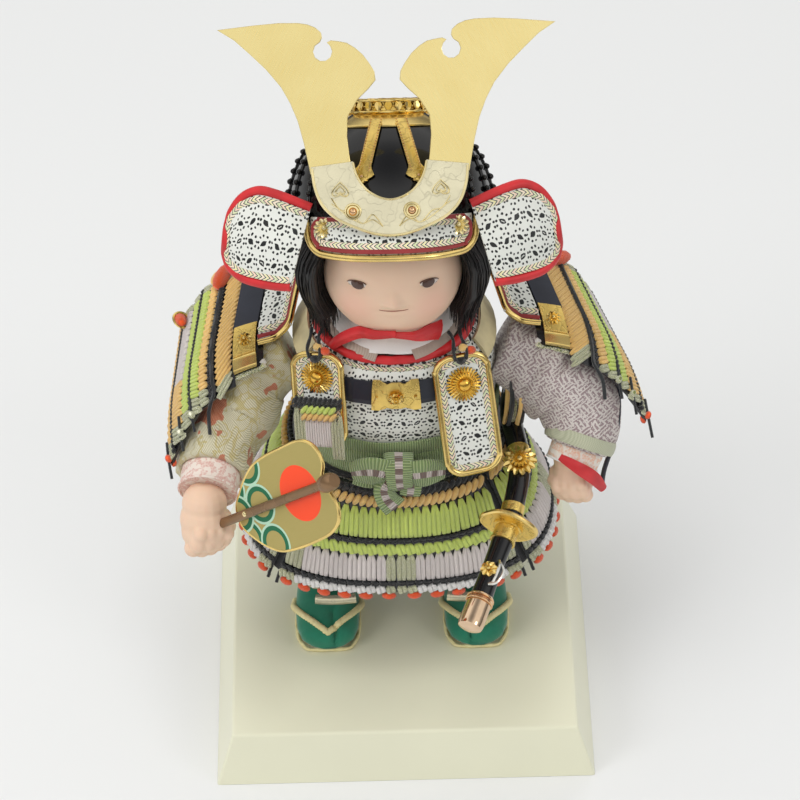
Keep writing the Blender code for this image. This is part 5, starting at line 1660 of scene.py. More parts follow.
def lace_plate(word, spot, half, tall):
    """The short plate's foot: black, lime and orange rows over pale loops between mixed ones."""
    def point(a, b, out):
        return spot((a - 0.5) * 2 * half, tall / 2 - b * tall, out)

    loops = lace_row(point, 0.0, 0.24, 0.58, 1.0, 0.0012, MIXED, 0.0034, 0.0042)
    loops += lace_row(point, 0.22, 0.78, 0.66, 1.0, 0.0014, ROSE, 0.0026, 0.0036)
    loops += lace_row(point, 0.74, 0.98, 0.66, 1.12, 0.0018, MIXED, 0.0034, 0.0044)
    ropes = stitch_row(point, 0.0, 0.96, 0.505, 0.0018, BLACK, 0.0026, 0.0034, 0.003)
    ropes += stitch_row(point, 0.0, 0.96, 0.56, 0.0014, BLACK, 0.0026, 0.0034, 0.003)
    ropes += stitch_row(point, 0.18, 0.84, 0.6, 0.0026, LIME, 0.0032, 0.004, 0.0044)
    ropes += stitch_row(point, 0.18, 0.84, 0.672, 0.0024, ORANGE, 0.0032, 0.004, 0.0044)
    set_out("chest_plate_laces_" + word, loops, LACE, SILK)
    set_out("chest_plate_cords_" + word, ropes, TWIST, SILK)


ORANGE_ENAMEL = gilt("orange_enamel", (0.95, 0.56, 0.1), 0.2)
chest_plate("left", 0.0148, 0.064, (0.0362, -0.029, 0.196), 16, -24, 0, 0.0165, 0.0092)
chest_plate("right", 0.0138, 0.05, (-0.0392, -0.0226, 0.203), -22, -20, -10, 0.0122, 0.0088, True)
print("chest plates made")

# %% [markdown]
# The sash is a ribbed silk tape wound round the waist and tied in front, with a stripe of white and brown
# blocks down its middle. It is padded, so the folds and tails are soft closed forms, pinched at the knot.

# %% Sash
def sash_finish():
    p = Paint("sash_weave", 0.75, sheen_weight=0.3)
    u, v = p.laid()
    u, v = u * 10, v * 10
    rib = (v * (2 * pi / 1.25)).sin()
    green = p.mix(rib * 0.5 + 0.5, (0.17, 0.26, 0.09), (0.42, 0.53, 0.24))
    block = (v / 2.9).floor() % 2.0
    inks = p.mix(block, (0.78, 0.68, 0.64), (0.22, 0.14, 0.12))
    inks = p.mix(rib * 0.25 + 0.15, inks, (0.12, 0.1, 0.08))
    p.colour(p.mix(abs(u - p.flag("tone")) < 1.9, green, inks))
    p.bump(rib + p.noise(1200.0) * 0.3, 0.4, 1.0)
    return p


SASH = sash_finish()


def sash_fold(bits, path, ups, wide, thick, stripe=0.0):
    """A soft flat tube of tape; its tone says where the block stripe runs, in millimetres."""
    rows = []
    last = len(path) - 1
    for i, (p, x, out) in enumerate(faced(path, ups)):
        w = (wide(i / last) if callable(wide) else wide) / 2
        row = []
        for k in range(20):
            a = pi + 2 * pi * k / 20
            ripple = 0.1 * thick * sin(3 * a + i * 0.5)
            high = thick / 2 * (1 + power(cos(a), 0.7)) + ripple
            row.append(p + x * (w * power(sin(a), 0.7)) + out * high)
        rows.append(row)
    bits.grid(rows, wrap=True, caps=True, tone=stripe)


def sash_band():
    """The wound band: three turns of tape, each lapping the next."""
    bits = Bits()
    turns = even_turns(0, 2 * pi, 161, z=0.162)
    for low, high, out, lean in ((0.1505, 0.1606, 0.0022, 0.0004), (0.1585, 0.1695, 0.003, -0.0008),
                                 (0.167, 0.1776, 0.0022, 0.001)):
        rows = []
        for t in turns[:-1]:
            sag = lean * sin(2 * t) + 0.0005 * sin(9 * t + low * 900)
            row = []
            for k in range(14):
                a = pi + 2 * pi * k / 14
                z = (low + high) / 2 + sag + (high - low) / 2 * power(sin(a), 0.8)
                thick = 0.0003 + out * (0.5 + 0.5 * power(cos(a), 0.7))
                row.append(body_point(t, max(0.1502, min(0.1776, z)), thick))
            rows.append(row)
        rows.append(rows[0])
        bits.grid(rows, wrap=True, tone=60.0)
    thing = bits.make("sash_winding", SASH, "sash_band", 60, slot="sash_weave")


def sash_knot():
    bits = Bits()
    _, b = body_size(0.162)
    y = BODY_Y - b - 0.0048

    def fold(points, wide, thick, way=(0, -1, 0.12), stripe=0.0):
        path = smooth_path(points, 16)
        sash_fold(bits, path, [Vector(way).normalized()] * len(path), wide, thick, stripe)

    fold([(0.0005, y, 0.1705), (0.0005, y - 0.0062, 0.169), (0.0005, y - 0.0078, 0.162),
          (0.001, y - 0.007, 0.156),
          (0.002, y - 0.0012, 0.153)], lambda s: 0.0155 - 0.0035 * s, 0.0026)
    fold([(-0.003, y - 0.003, 0.163), (-0.012, y - 0.0052, 0.1665), (-0.023, y - 0.003, 0.1645)],
         lambda s: 0.0115 + 0.0055 * sin(pi * min(1, 0.2 + s * 0.8)), 0.004, (-0.2, -1, 0.1))
    fold([(-0.003, y - 0.0022, 0.161), (-0.013, y - 0.003, 0.1575), (-0.022, y - 0.0006, 0.159)],
         lambda s: 0.007 + 0.005 * s, 0.0026, (-0.2, -1, 0.1))
    fold([(0.004, y - 0.003, 0.1625), (0.012, y - 0.0052, 0.164), (0.023, y - 0.0016, 0.1625)],
         lambda s: 0.0115 + 0.005 * sin(pi * min(1, 0.2 + s * 0.8)), 0.004, (0.2, -1, 0.1))
    fold([(-0.002, y - 0.0045, 0.16), (-0.007, y - 0.0072, 0.155), (-0.006, y - 0.009, 0.149),
          (-0.002, y - 0.01, 0.144)], lambda s: 0.0095 + 0.004 * s, 0.0022, (-0.15, -1, 0.45))
    fold([(0.005, y - 0.004, 0.1585), (0.0062, y - 0.0062, 0.1545), (0.0056, y - 0.0078, 0.15)],
         lambda s: 0.0125 - 0.002 * s, 0.0022, (0.1, -1, 0.45))
    thing = bits.make("sash_bow", SASH, "sash_knot", 60, slot="sash_weave")


sash_band()
sash_knot()
print("sash wound and tied")

# %% [markdown]
# The skirt and shoulder guards are rows of small black scales hidden under laced silk. Each tier shows a row
# of tall loops, a black chain stitch along the scales' edge, and a row of short loops; loops of mixed
# thread mark the middle and the ends. One function laces any surface.

# %% Lacing
def lace_tier(point, a0, a1, b0, b1, out, dye, wide, loops, chains, tall_share=0.62, deep=0.0036,
              chain_pitch=0.0042):
    """Tall loops, a chain and short loops between b0 and b1."""
    split = b0 + (b1 - b0) * tall_share
    edge = split + (b1 - b0) * 0.14
    loops += lace_row(point, a0, a1, b0, split, out, dye, wide, deep)
    chains += stitch_row(point, a0, a1, (split + edge) / 2, out + 0.0006, BLACK, chain_pitch,
                         chain_pitch * 0.8, 0.003)
    loops += lace_row(point, a0, a1, edge, b1, out, dye, wide, deep * 0.85, 0.35)


def fringe_cord(bits, path, radius=0.001, tone=BLACK, seed=1):
    """A black cord with short loose threads standing off it."""
    draw = random.Random(seed)
    cord(bits, path, radius, 0.001, 3, 9, tone=tone)
    for p in path[1:-1:2]:
        for _ in range(3):
            way = Vector((draw.uniform(-1, 1), draw.uniform(-1, 1), draw.uniform(-1, 1))).normalized()
            rod(bits, [p, p + way * radius * draw.uniform(1.4, 2.3)], 0.0001, 3, tone=tone)


SKIRT_TOP, SKIRT_HEM = 0.149, 0.0858
SKIRT_T = 0.0035


def skirt_point(turned, share, out=0.0):
    a = 0.056 + share * 0.03
    b = 0.0535 + share * 0.0165
    e = 2.2 + share * 0.4
    return Vector(((a - SKIRT_T + out) * power(sin(turned), 2 / e),
                   BODY_Y - (b - SKIRT_T + out) * power(cos(turned), 2 / e),
                   SKIRT_TOP + share * (SKIRT_HEM - SKIRT_TOP)))


def skirt_panel(name, first, last, middle_pair):
    """a runs 0 to 1 at even steps along the panel, b from the sash to the hem."""
    first, last = radians(first), radians(last)
    turns = even_along(lambda t: skirt_point(t, 0.6), first, last, 60, 500)

    def point(a, b, out):
        return skirt_point(between(turns, max(0.0, min(1.0, a))), b, out)

    tiers = ((0.0, 0.17), (0.165, 0.58), (0.56, 0.95))
    scales = Bits()
    for k, (b0, b1) in enumerate(tiers):
        def tier_point(a, b, out, b0=b0, b1=b1, k=k):
            return point(a, b0 + (b1 - b0) * b, out + 0.0007 * b - 0.0003 * k + 0.0002)
        slab(scales, tier_point, spread(0, 1, 41), spread(0, 1, 5), 0.0004, 0.0022)
    scales.make(name + "_scales", BLACK_IRON, name, 50, slot="silk_lacing")
    length = line_length([point(t, 0.6, 0.0) for t in spread(0, 1, 40)])
    edge = 0.005 / length

    def dyed(dye):
        def choose(a):
            ends = a < 1.4 * edge or a > 1 - 1.4 * edge
            pair = middle_pair and abs(a - 0.5) < 1.1 * edge
            return MIXED if ends or pair else dye
        return choose

    loops, chains, ropes, beads = [], [], [], []
    ropes += stitch_row(point, 0.0, 1.0, 0.125, 0.0024, ORANGE, 0.0036, 0.0066, 0.0046)
    ropes += stitch_row(point, 0.0, 1.0, 0.05, 0.0018, BLACK, 0.0034, 0.005, 0.0036)
    lace_tier(point, 0.0, 1.0, 0.185, 0.605, 0.0026, lambda a: LIME, 0.005, loops, chains)
    lace_tier(point, 0.0, 1.0, 0.605, 0.955, 0.0026, dyed(ROSE), 0.005, loops, chains, 0.66)
    last_row = SKIRT_TOP + (SKIRT_HEM - SKIRT_TOP) * 0.86
    loops = [(*p[:4], WHITE) if p[4] == ROSE and p[0].z < last_row else p for p in loops]
    count = max(3, round(length / 0.0098))
    for k in range(count):
        a = (k + 0.5) / count
        at = point(a, 0.99, 0.002)
        beads.append((at, point(a + 0.01, 0.965, 0.0) - point(a, 0.965, 0.0),
                      point(a, 0.9, 0.01) - point(a, 0.9, 0.0),
                      (0.0078, 0.004, 0.0044), SCARLET))
    set_out(name + "_laces", loops, LACE, SILK)
    set_out(name + "_chains", chains, CHAIN, SILK)
    set_out(name + "_cord_row", ropes, TWIST, SILK)
    set_out(name + "_knots", beads, BEAD, SILK)
    sides = Bits()
    for a in (0.0, 1.0):
        path = [point(a, b, 0.0022) for b in spread(0.02, 0.93, 22)]
        tip = path[-1] + (path[-1] - path[-2]).normalized() * 0.006 + Vector((0, -0.002, 0))
        fringe_cord(sides, smooth_path(path + [tip], 50), 0.001, BLACK, 3 + int(a))
    sides.make(name + "_edge_cords", SILK)
    return len(loops)


def waist_cords():
    """Black cords between the sash and the skirt hide the seam."""
    bits = Bits()
    for z, r in ((0.1502, 0.0012), (0.1486, 0.0015)):
        ring = [body_point(t, z, 0.003) for t in even_turns(0, 2 * pi, 160, z=0.15)[:-1]]
        cord(bits, ring, r, 0.001, 3, 8, closed=True, tone=BLACK)
    bits.make("waist_cords", SILK)


waist_cords()
for name, first, last, pair in (("skirt_front", -45.5, 45.5, True), ("skirt_right", -130.0, -51.0, True),
                                ("skirt_left", 51.0, 130.0, True), ("skirt_back", 136.0, 224.0, True)):
    print(name, "loops:", skirt_panel(name, first, last, pair))
# Black silk strips just inside the gaps between the skirt panels: painted shade, dark sheets standing in for
# the shadow inside the skirt.
gap_shade_strips = Bits()
for middle in (-133.0, -48.2, 48.2, 133.0):
    path = [skirt_point(radians(middle), k / 16 * 0.97, -0.0012) for k in range(17)]
    away = Vector((sin(radians(middle)), -cos(radians(middle)), 0.0))
    ribbon(gap_shade_strips, path, [away] * 17, 0.01, 0.001, tone=BLACK)
gap_shade_strips.make("skirt_backing", SILK)

# %% [markdown]
# A shoulder guard hangs from the shoulder: a stencilled plate with a gilt rim next to the neck, a dark
# leather block and a stamped fitting beside it, then laced tiers down to the outer edge, with black cords
# that end in short tips in front.

# %% Shoulder guards
GUARD = {RIGHT: ((-0.05, 0.06, 0.226), (-0.062, -0.002, 0.21),
                 (-0.11, 0.056, 0.186), (-0.1185, -0.03, 0.171)),
         LEFT: ((0.05, 0.06, 0.2294), (0.068, 0.006, 0.2114),
                (0.103, 0.06, 0.1924), (0.131, -0.012, 0.1764))}


def guard_middle(side, inward, forward):
    ib, inf, ob, of = (Vector(p) for p in GUARD[side])
    back = ib + (ob - ib) * inward
    front = inf + (of - inf) * inward
    bend = 0.013 * sin(pi * min(1.0, max(0.0, inward)))
    drop = -0.006 * max(0.0, forward - 0.6) ** 2 / 0.16
    return back + (front - back) * forward + Vector((side * 0.6, 0.0, 0.8)) * (bend + drop)


def guard_point(side, inward, forward, out=0.0):
    here = guard_middle(side, inward, forward)
    across = guard_middle(side, inward + 0.01, forward) - guard_middle(side, inward - 0.01, forward)
    along = guard_middle(side, inward, forward + 0.01) - guard_middle(side, inward, forward - 0.01)
    normal = across.cross(along)
    if normal.z < 0:
        normal = -normal
    return here + normal.normalized() * out


def shoulder_guard(side, word):
    def face(a, b, out):
        """a forward, b outward from the neck."""
        return guard_point(side, b, a, out)

    lames = Bits()
    tiers = ((0.11, 0.34, 0.0), (0.3, 0.66, 0.0006), (0.64, 0.82, 0.0006), (0.8, 1.0, 0.0006))
    for b0, b1, lift in tiers:
        def tier_point(a, b, out, b0=b0, b1=b1, lift=lift):
            return face(a, b0 + (b1 - b0) * b, out + lift * b)
        slab(lames, tier_point, spread(0.0, 0.93 if b0 < 0.2 else 1.0, 25), spread(0, 1, 5), 0.0002, 0.0018)
    lames.make("guard_scales_" + word, BLACK_IRON, "shoulder_lames_" + word, 50, slot="silk_lacing")

    def dyed(dye):
        return lambda a: MIXED if a > 0.92 or a < 0.05 else dye

    loops, chains = [], []
    loops += lace_row(face, 0.0, 1.0, 0.29, 0.46, 0.0022, dyed(ORANGE), 0.0031, 0.0032, 0.95)
    chains += stitch_row(face, 0.0, 1.0, 0.462, 0.003, BLACK, 0.002, 0.0022, 0.0024)
    chains += stitch_row(face, 0.0, 1.0, 0.486, 0.003, BLACK, 0.002, 0.0022, 0.0024)
    loops += lace_row(face, 0.0, 1.0, 0.505, 0.575, 0.0024, dyed(ORANGE), 0.0042, 0.003, 0.3)
    lace_tier(face, 0.0, 1.0, 0.58, 0.765, 0.0022, dyed(LIME), 0.0042, loops, chains, 0.42, 0.0034, 0.0026)
    lace_tier(face, 0.0, 1.0, 0.775, 0.985, 0.0022, dyed(ROSE), 0.0042, loops, chains, 0.6, 0.0034, 0.0026)
    places = [(*p[:4], ORANGE) if p[4] == ROSE and i > len(loops) - 30 else p for i, p in enumerate(loops)]
    set_out("guard_laces_" + word, places, LACE, SILK)
    set_out("guard_chains_" + word, chains, CHAIN, SILK)
    cords = Bits()
    beads = []
    across = (face(0.5, 0.6, 0.0) - face(0.5, 0.4, 0.0)).normalized()
    path = [face(a, 0.474 - 0.02 * a, 0.0046) for a in spread(0.04, 0.98, 14)]
    path += [face(1.06, 0.52, 0.003), face(1.14, 0.57, -0.003)]
    cord(cords, smooth_path(path, 90), 0.0011, 0.001, 3, 8, tone=BLACK)
    for k, b in enumerate((0.66, 0.8, 0.99)):
        root = face(0.94, b, 0.0036)
        way = (face(1.0, b, 0.0034) - face(0.9, b, 0.0034)).normalized()
        tip = root + way * (0.01 + 0.001 * k) + across * (side * 0.001) + Vector((0, 0, -0.004))
        rod(cords, smooth_path([root - way * 0.006, root + way * 0.003, tip], 12), 0.0008, 7, tone=BLACK)
        beads.append((root + way * 0.003, way, across, (0.005, 0.0036, 0.0036),
                      SCARLET if k == 2 else MIXED))
    for a in spread(0.02, 0.98, 9):
        beads.append((face(a, 1.0, 0.0004), face(a + 0.01, 1.0, 0) - face(a, 1.0, 0),
                      face(a, 1.0, 0.01) - face(a, 1.0, 0),
                      (0.0052, 0.0032, 0.0034), SCARLET))
    cords.make("guard_cords_" + word, SILK)
    set_out("guard_knots_" + word, beads, BEAD, SILK)
    pompoms = []
    for a, b, tone, size in ((0.06, 0.46, SCARLET, 0.01), (0.03, 0.52, ORANGE, 0.0052)):
        pompoms.append((face(a, b, 0.0052), across, face(a, b, 0.01) - face(a, b, 0),
                        (size, size, size * 0.9), tone))
    set_out("guard_pompoms_" + word, pompoms, TWIST, SILK)
    if side == LEFT:
        return face
    ring_at = face(0.1, 0.86, 0.0062)
    ring_out = outward(face, 0.1, 0.86)
    ring_x = (face(0.3, 0.86, 0.0) - face(0.1, 0.86, 0.0)).normalized()
    rod(Bits(), circle(28, 0.0046, ring_x, ring_out, ring_at), 0.0008, 7, closed=True).make(
        "guard_ring_" + word, GILT)
    knot = [(ring_at, ring_x, ring_out, (0.0086, 0.007, 0.007), SCARLET)]
    set_out("guard_ring_knot_" + word, knot, TWIST, SILK)
    return face


def guard_plate(word, face):
    """Stencilled plate, braid, dark line and gilt rim; then the leather block and the fitting."""
    top = 0.0042

    def plate(a, b, out):
        return face(0.05 + 0.72 * a, -0.14 + 0.285 * b, top + out)

    slab(Bits(), plate, spread(0, 1, 25), spread(0, 1, 9), 0.0, 0.0014).make(
        "guard_plate_" + word, SPOTTED, "shoulder_plate_" + word, 50, slot="spotted_leather")
    edge = [(0.0, 0.0), (0.3, 0.0), (0.6, 0.0), (0.84, 0.0), (0.94, 0.05), (0.99, 0.2), (1.0, 0.45),
            (1.0, 0.7), (1.0, 1.0)]
    for name, inset, width, paint in (("guard_plate_braid_", 0.125, 0.0032, CHEVRON),
                                      ("guard_plate_line_", 0.055, 0.0022, DARK_RED)):
        strip = Bits()
        pairs = [(a - inset * (a ** 6), b + inset * 1.5 * (1 - b) ** 4 * (1 if a < 0.95 else 0.5)) for a,
                 b in edge]
        path, ups = led(plate, pairs, 0.0015, 60)
        ribbon(strip, path, ups, width, 0.0006)
        strip.make(name + word, paint)
    rod(Bits(), smooth_path([plate(a, b, 0.0008) for a, b in edge], 80), 0.0016, 12).make(
        "guard_rim_" + word, GILT, slot="gilt_metal")

    def block(a, b, out):
        return face(0.06 + 0.54 * a, 0.155 + 0.155 * b, top + out)

    slab(Bits(), block, spread(0, 1, 13), spread(0, 1, 5), 0.0, 0.0016).make(
        "guard_leather_" + word, NAVY, slot="navy_leather")

    def fitting(a, b, out):
        return face(0.6 + 0.33 * a, 0.157 + 0.143 * b, top + out)

    slab(Bits(), fitting, spread(0.0, 0.76, 9), spread(0, 1, 7), 0.0, 0.002).make(
        "guard_fitting_" + word, GILT_ENGRAVED, "shoulder_fitting_" + word, 40, slot="gilt_metal")
    bits = Bits()
    slab(bits, fitting, spread(0.78, 1.0, 5), spread(-0.02, 1.02, 7), -0.0012, 0.003)
    for a in (0.77, 1.0):
        rod(bits, [fitting(a, b, 0.0029) for b in spread(0, 1, 12)], 0.0006, 6)
    bits.make("guard_flange_" + word, GILT)
    out = outward(fitting, 0.4, 0.55)
    petals, button = rosette(fitting(0.36, 0.5, 0.002), out, 0.0038, 10, 0.0015)
    set_out("guard_rosette_" + word, petals, PETAL, GILT)
    beads = [button]
    for b in spread(0.04, 0.96, 13):
        beads.append((fitting(0.69, b, 0.0021), out.orthogonal(), out, (0.001, 0.001, 0.0009), 0.0))
    for a in spread(0.02, 0.66, 11):
        beads.append((fitting(a, 0.03, 0.0021), out.orthogonal(), out, (0.0009, 0.0009, 0.0008), 0.0))
    set_out("guard_fitting_beads_" + word, beads, BEAD, GILT)
    cords = Bits()
    for shift in (0.0, 0.03):
        path = [face(0.905 + shift, b, -0.0004) for b in (0.1, 0.15, 0.22, 0.32, 0.42)]
        path[0] += Vector((0, -0.001, 0.002))
        cord(cords, smooth_path(path, 40), 0.0016, 0.001, 3, 9, tone=MIXED if shift else WHITE)
    cords.make("guard_lower_cords_" + word, SILK)


for side, word in SIDES:
    guard_plate(word, shoulder_guard(side, word))
print("shoulder guards laced")

# %% [markdown]
# Sleeves are brocade over cotton padding: the right one silver with gold scrolls and rust leaves, the left
# one a mauve key print. Each is a closed soft form round a bent line, gathered into its cuff, with folds.

# %% Sleeve cloths
def brocade():
    p = Paint("brocade", 0.55, sheen_weight=0.3)
    x, y, z = p.place()
    at = p.vector(x * 0.075, y * 0.075, z * 0.075)
    scroll = abs(p.noise(1.0, 1.5, at) - 0.5)
    wide_scroll = abs(p.noise(1.9, 1.0, at) - 0.46)
    gold = (1.0 - scroll.step(0.01, 0.03)).most(1.0 - wide_scroll.step(0.012, 0.028))
    leaf_at = p.vector(x * 0.055 + 3.7, y * 0.055, z * 0.055 + 1.3)
    leaf = (p.noise(1.0, 2.5, leaf_at, 0.65)).step(0.6, 0.615)
    weave = ((x * 1.0 + z * 0.9) * (2 * pi / 0.95)).sin()
    veins = ((x - z * 0.8) * (2 * pi / 0.9)).sin().step(0.2, 0.6)
    cream = p.mix(weave * 0.45 + 0.45, (0.43, 0.39, 0.25), (0.8, 0.75, 0.55))
    gilded = p.mix(gold * 0.75, cream, p.mix(weave * 0.4 + 0.4, (0.44, 0.36, 0.12), (0.72, 0.62, 0.3)))
    rust = p.mix(veins * 0.6, (0.46, 0.13, 0.06), (0.66, 0.36, 0.22))
    p.colour(p.mix(leaf, gilded, rust))
    p.metal(gold * 0.4)
    p.bump(weave * 0.6 + gold * 0.5 + leaf * 0.6, 0.13, 0.8)
    return p


def key_print():
    """Interlocking keys: short bars that turn from square to square."""
    p = Paint("key_print_cloth", 0.75, sheen_weight=0.2)
    x, y, z = p.place()
    u = (x * 0.8 + z * 0.6) / 5.6
    v = (z * 0.8 - x * 0.6 + y * 0.5) / 5.6
    turned = (u.floor() + v.floor()) % 2.0
    bar_u = ((u * 3.0) % 1.0 < 0.6)
    bar_v = ((v * 3.0) % 1.0 < 0.6)
    ragged = (p.noise(1.0, 1.0, p.vector(x * 0.9, z * 0.9, y * 0.9)) > 0.44)
    bars = 1.0 - (bar_u * turned + bar_v * (1.0 - turned)) * ragged
    weave = ((x + z) * (2 * pi / 0.5)).sin() * ((y - z) * (2 * pi / 0.5)).sin()
    cloud = p.noise(30.0)
    ground = p.mix(cloud, (0.27, 0.19, 0.2), (0.36, 0.27, 0.27))
    p.colour(p.mix(bars * 0.8 + weave * 0.15, ground, (0.76, 0.71, 0.66)))
    p.bump(bars * 0.6 + weave * 0.4, 0.12, 0.8)
    return p


def cuff_print(name, ground, ink):
    p = Paint(name, 0.75)
    curls = (p.noise(260.0, 2.0) * 14).sin().step(0.1, 0.6)
    specks = p.cells(900.0)
    p.colour(p.mix(curls * 0.8, ground, p.mix(specks, ink, ground)))
    p.bump(curls * 0.5 + specks * 0.4, 0.12, 0.7)
    return p


BROCADE = brocade()
KEY_PRINT = key_print()
CUFF_ROSE = cuff_print("cuff_rose", (0.8, 0.7, 0.62), (0.58, 0.2, 0.16))
CUFF_ORANGE = cuff_print("cuff_orange", (0.86, 0.8, 0.72), (0.8, 0.34, 0.14))
BEIGE_BRAID = cloth("beige_braid", (0.66, 0.66, 0.5), (0.34, 0.36, 0.24), 1.5)
print("sleeve cloths ready")

# %% Sleeves
SLEEVE = {RIGHT: ((-0.0537, 0.02, 0.199, 0.018), (-0.074, 0.016, 0.189, 0.0215),
                  (-0.087, 0.002, 0.172, 0.0252), (-0.094, -0.016, 0.164, 0.022),
                  (-0.0965, -0.029, 0.16, 0.0185)),
          LEFT: ((0.0537, 0.02, 0.199, 0.018), (0.074, 0.016, 0.189, 0.0208), (0.092, 0.006, 0.177, 0.0237),
                 (0.096, -0.006, 0.164, 0.0205), (0.0935, -0.0125, 0.156, 0.0165))}


def soft(thing, pressure=2.5, frames=14, pinned=lambda v: 0.0):
    """Lets a padded form swell and crease as cloth over its filling, then keeps the result."""
    group = thing.vertex_groups.new(name="held")
    for vert in thing.data.vertices:
        group.add([vert.index], pinned(vert.co), "REPLACE")
    step = thing.modifiers.new("cloth", "CLOTH")
    for key, value in (("quality", 5), ("mass", 0.15), ("tension_stiffness", 8),
                       ("compression_stiffness", 8),
                       ("bending_stiffness", 0.3), ("use_pressure", True),
                       ("uniform_pressure_force", pressure),
                       ("vertex_group_mass", "held"), ("shrink_min", -0.04)):
        setattr(step.settings, key, value)
    step.settings.effector_weights.gravity = 0.0
    step.point_cache.frame_start = 1
    step.point_cache.frame_end = frames
    scene = bpy.context.scene
    scene.frame_start, scene.frame_end = 1, frames
    for frame_number in range(1, frames + 1):
        scene.frame_set(frame_number)
    swollen = settled(thing)
    cap = 0.0035
    for vert, moved in zip(thing.data.vertices, swollen.vertices):
        shift = moved.co - vert.co
        if shift.length > cap:
            shift = shift.normalized() * cap
        vert.co = vert.co + shift
    thing.modifiers.remove(step)
    thing.vertex_groups.remove(group)
    bpy.data.meshes.remove(swollen)
    scene.frame_set(1)


def sleeve(side, word, paint, slot):
    stations = [Vector(s[:3]) for s in SLEEVE[side]]
    radii = [s[3] for s in SLEEVE[side]]
    path = smooth_path(stations, 34)
    rows = []
    frames = frames_along(path, up=None)
    for i, (p, (x, y, along)) in enumerate(zip(path, frames)):
        t = i / 33
        r = between(radii, t)
        row = []
        for a in around(48):
            fold = noise.noise(Vector((cos(a) * 1.4 + side * 3, sin(a) * 1.4, t * 4.2)))
            crease = sin(a * 3 + t * 9 + side) * 0.0006 + fold * 0.0016
            gather = sin(a * 17 + side) * 0.0005 * max(0.0, (t - 0.72) / 0.28)
            row.append(p + (r + crease + gather) * (cos(a) * x + sin(a) * y))
        rows.append(row)
    end = path[-1]
    x, y, along = frames[-1]
    for r_share, push in ((0.86, 0.0006), (0.74, -0.0018)):
        rows.append(circle(48, radii[-1] * r_share, x, y, end + along * push))
    bits = Bits()
    bits.grid(rows, wrap=True, caps=True)
    thing = bits.make("sleeve_cloth_" + word, paint, "sleeve_" + word, 180, slot=slot)
    soft(thing, pinned=lambda co: 1.0 if (co - end).length < 0.02 or abs(co.x) < 0.06 else 0.0)
    return end, along, (x, y)


CUFF_R = {RIGHT: 0.015, LEFT: 0.0136}
CUFF_L = {RIGHT: 0.015, LEFT: 0.0125}


def cuff(side, word, end, along, axes, paint):
    x, y = axes
    bits = Bits()
    rows = []
    for t, r in ((0.0, 0.9), (0.12, 1.0), (0.4, 1.03), (0.7, 1.01), (0.93, 1.0), (1.0, 0.97), (0.98, 0.84),
                 (0.93, 0.62)):
        p = end + along * (-0.0035 + t * CUFF_L[side])
        rows.append([p + CUFF_R[side] * (r + 0.02 * sin(3 * a + 4 * t)) * (cos(a) * x + sin(a) * y)
                     for a in around(40)])
    bits.grid(rows, wrap=True, caps=True)
    bits.make("cuff_cloth_" + word, paint, "cuff_" + word, 60, slot="cuff_cloth")
    lip = Bits()
    p = end + along * (-0.0035 + CUFF_L[side])
    ring = circle(48, CUFF_R[side], x, y, p)
    rod(lip, ring, 0.0007, 6, closed=True)
    lip.make("cuff_piping_" + word, CUFF_ROSE if side < 0 else WHITE_CLOTH)


def left_sleeve_trim(end, along, axes):
    """A beige braid above the cuff, a black piping down the outer seam and a red tie end."""
    x, y = axes
    band = Bits()
    ring, ups = [], []
    for a in around(48):
        out = cos(a) * x + sin(a) * y
        ring.append(end - along * 0.0045 + 0.0176 * out)
        ups.append(out)
    ribbon(band, ring, ups, 0.0072, 0.0012, 0.0003, closed=True)
    band.make("sleeve_braid_left", BEIGE_BRAID)
    rod(Bits(), smooth_path([(0.115, 0.004, 0.185), (0.115, -0.004, 0.17), (0.1125, -0.011, 0.1585),
                             (0.1075, -0.016, 0.143),
                           (0.1062, -0.018, 0.1335)], 30), 0.0013, 8).make("sleeve_seam_left", NAVY)
    strip = Bits()
    path = smooth_path([(0.0835, -0.0285, 0.164), (0.093, -0.032, 0.159), (0.101, -0.03, 0.15),
                        (0.1062, -0.0265, 0.139)], 20)
    ribbon(strip, path, [Vector((0.25, -0.85, 0.45))] * 20,
           lambda s: 0.002 + 0.005 * sin(pi * min(1.0, 0.1 + s * 0.75)),
           0.001, 0.0005)
    strip.make("sleeve_tie_left", RED_SILK)
    cords = Bits()
    for k, tone in enumerate((ORANGE, BLACK, MIXED, ORANGE, BLACK)):
        start = Vector((0.057 + 0.0022 * k, 0.003 - 0.002 * (k % 2), 0.196))
        path = smooth_path([start, start + Vector((0.001, -0.003 * (k % 2), -0.016)),
                            start + Vector((-0.001, 0.0, -0.036))], 30)
        cord(cords, path, 0.0013, 0.0012, 3, 8, tone=tone)
    cords.make("armpit_cords_left", SILK)


# %% Hands
HAND_AT = {RIGHT: Vector((-0.1001, -0.05, 0.1412)), LEFT: Vector((0.0911, -0.02, 0.1405))}
HAND_SIZE = {RIGHT: 0.016, LEFT: 0.0137}


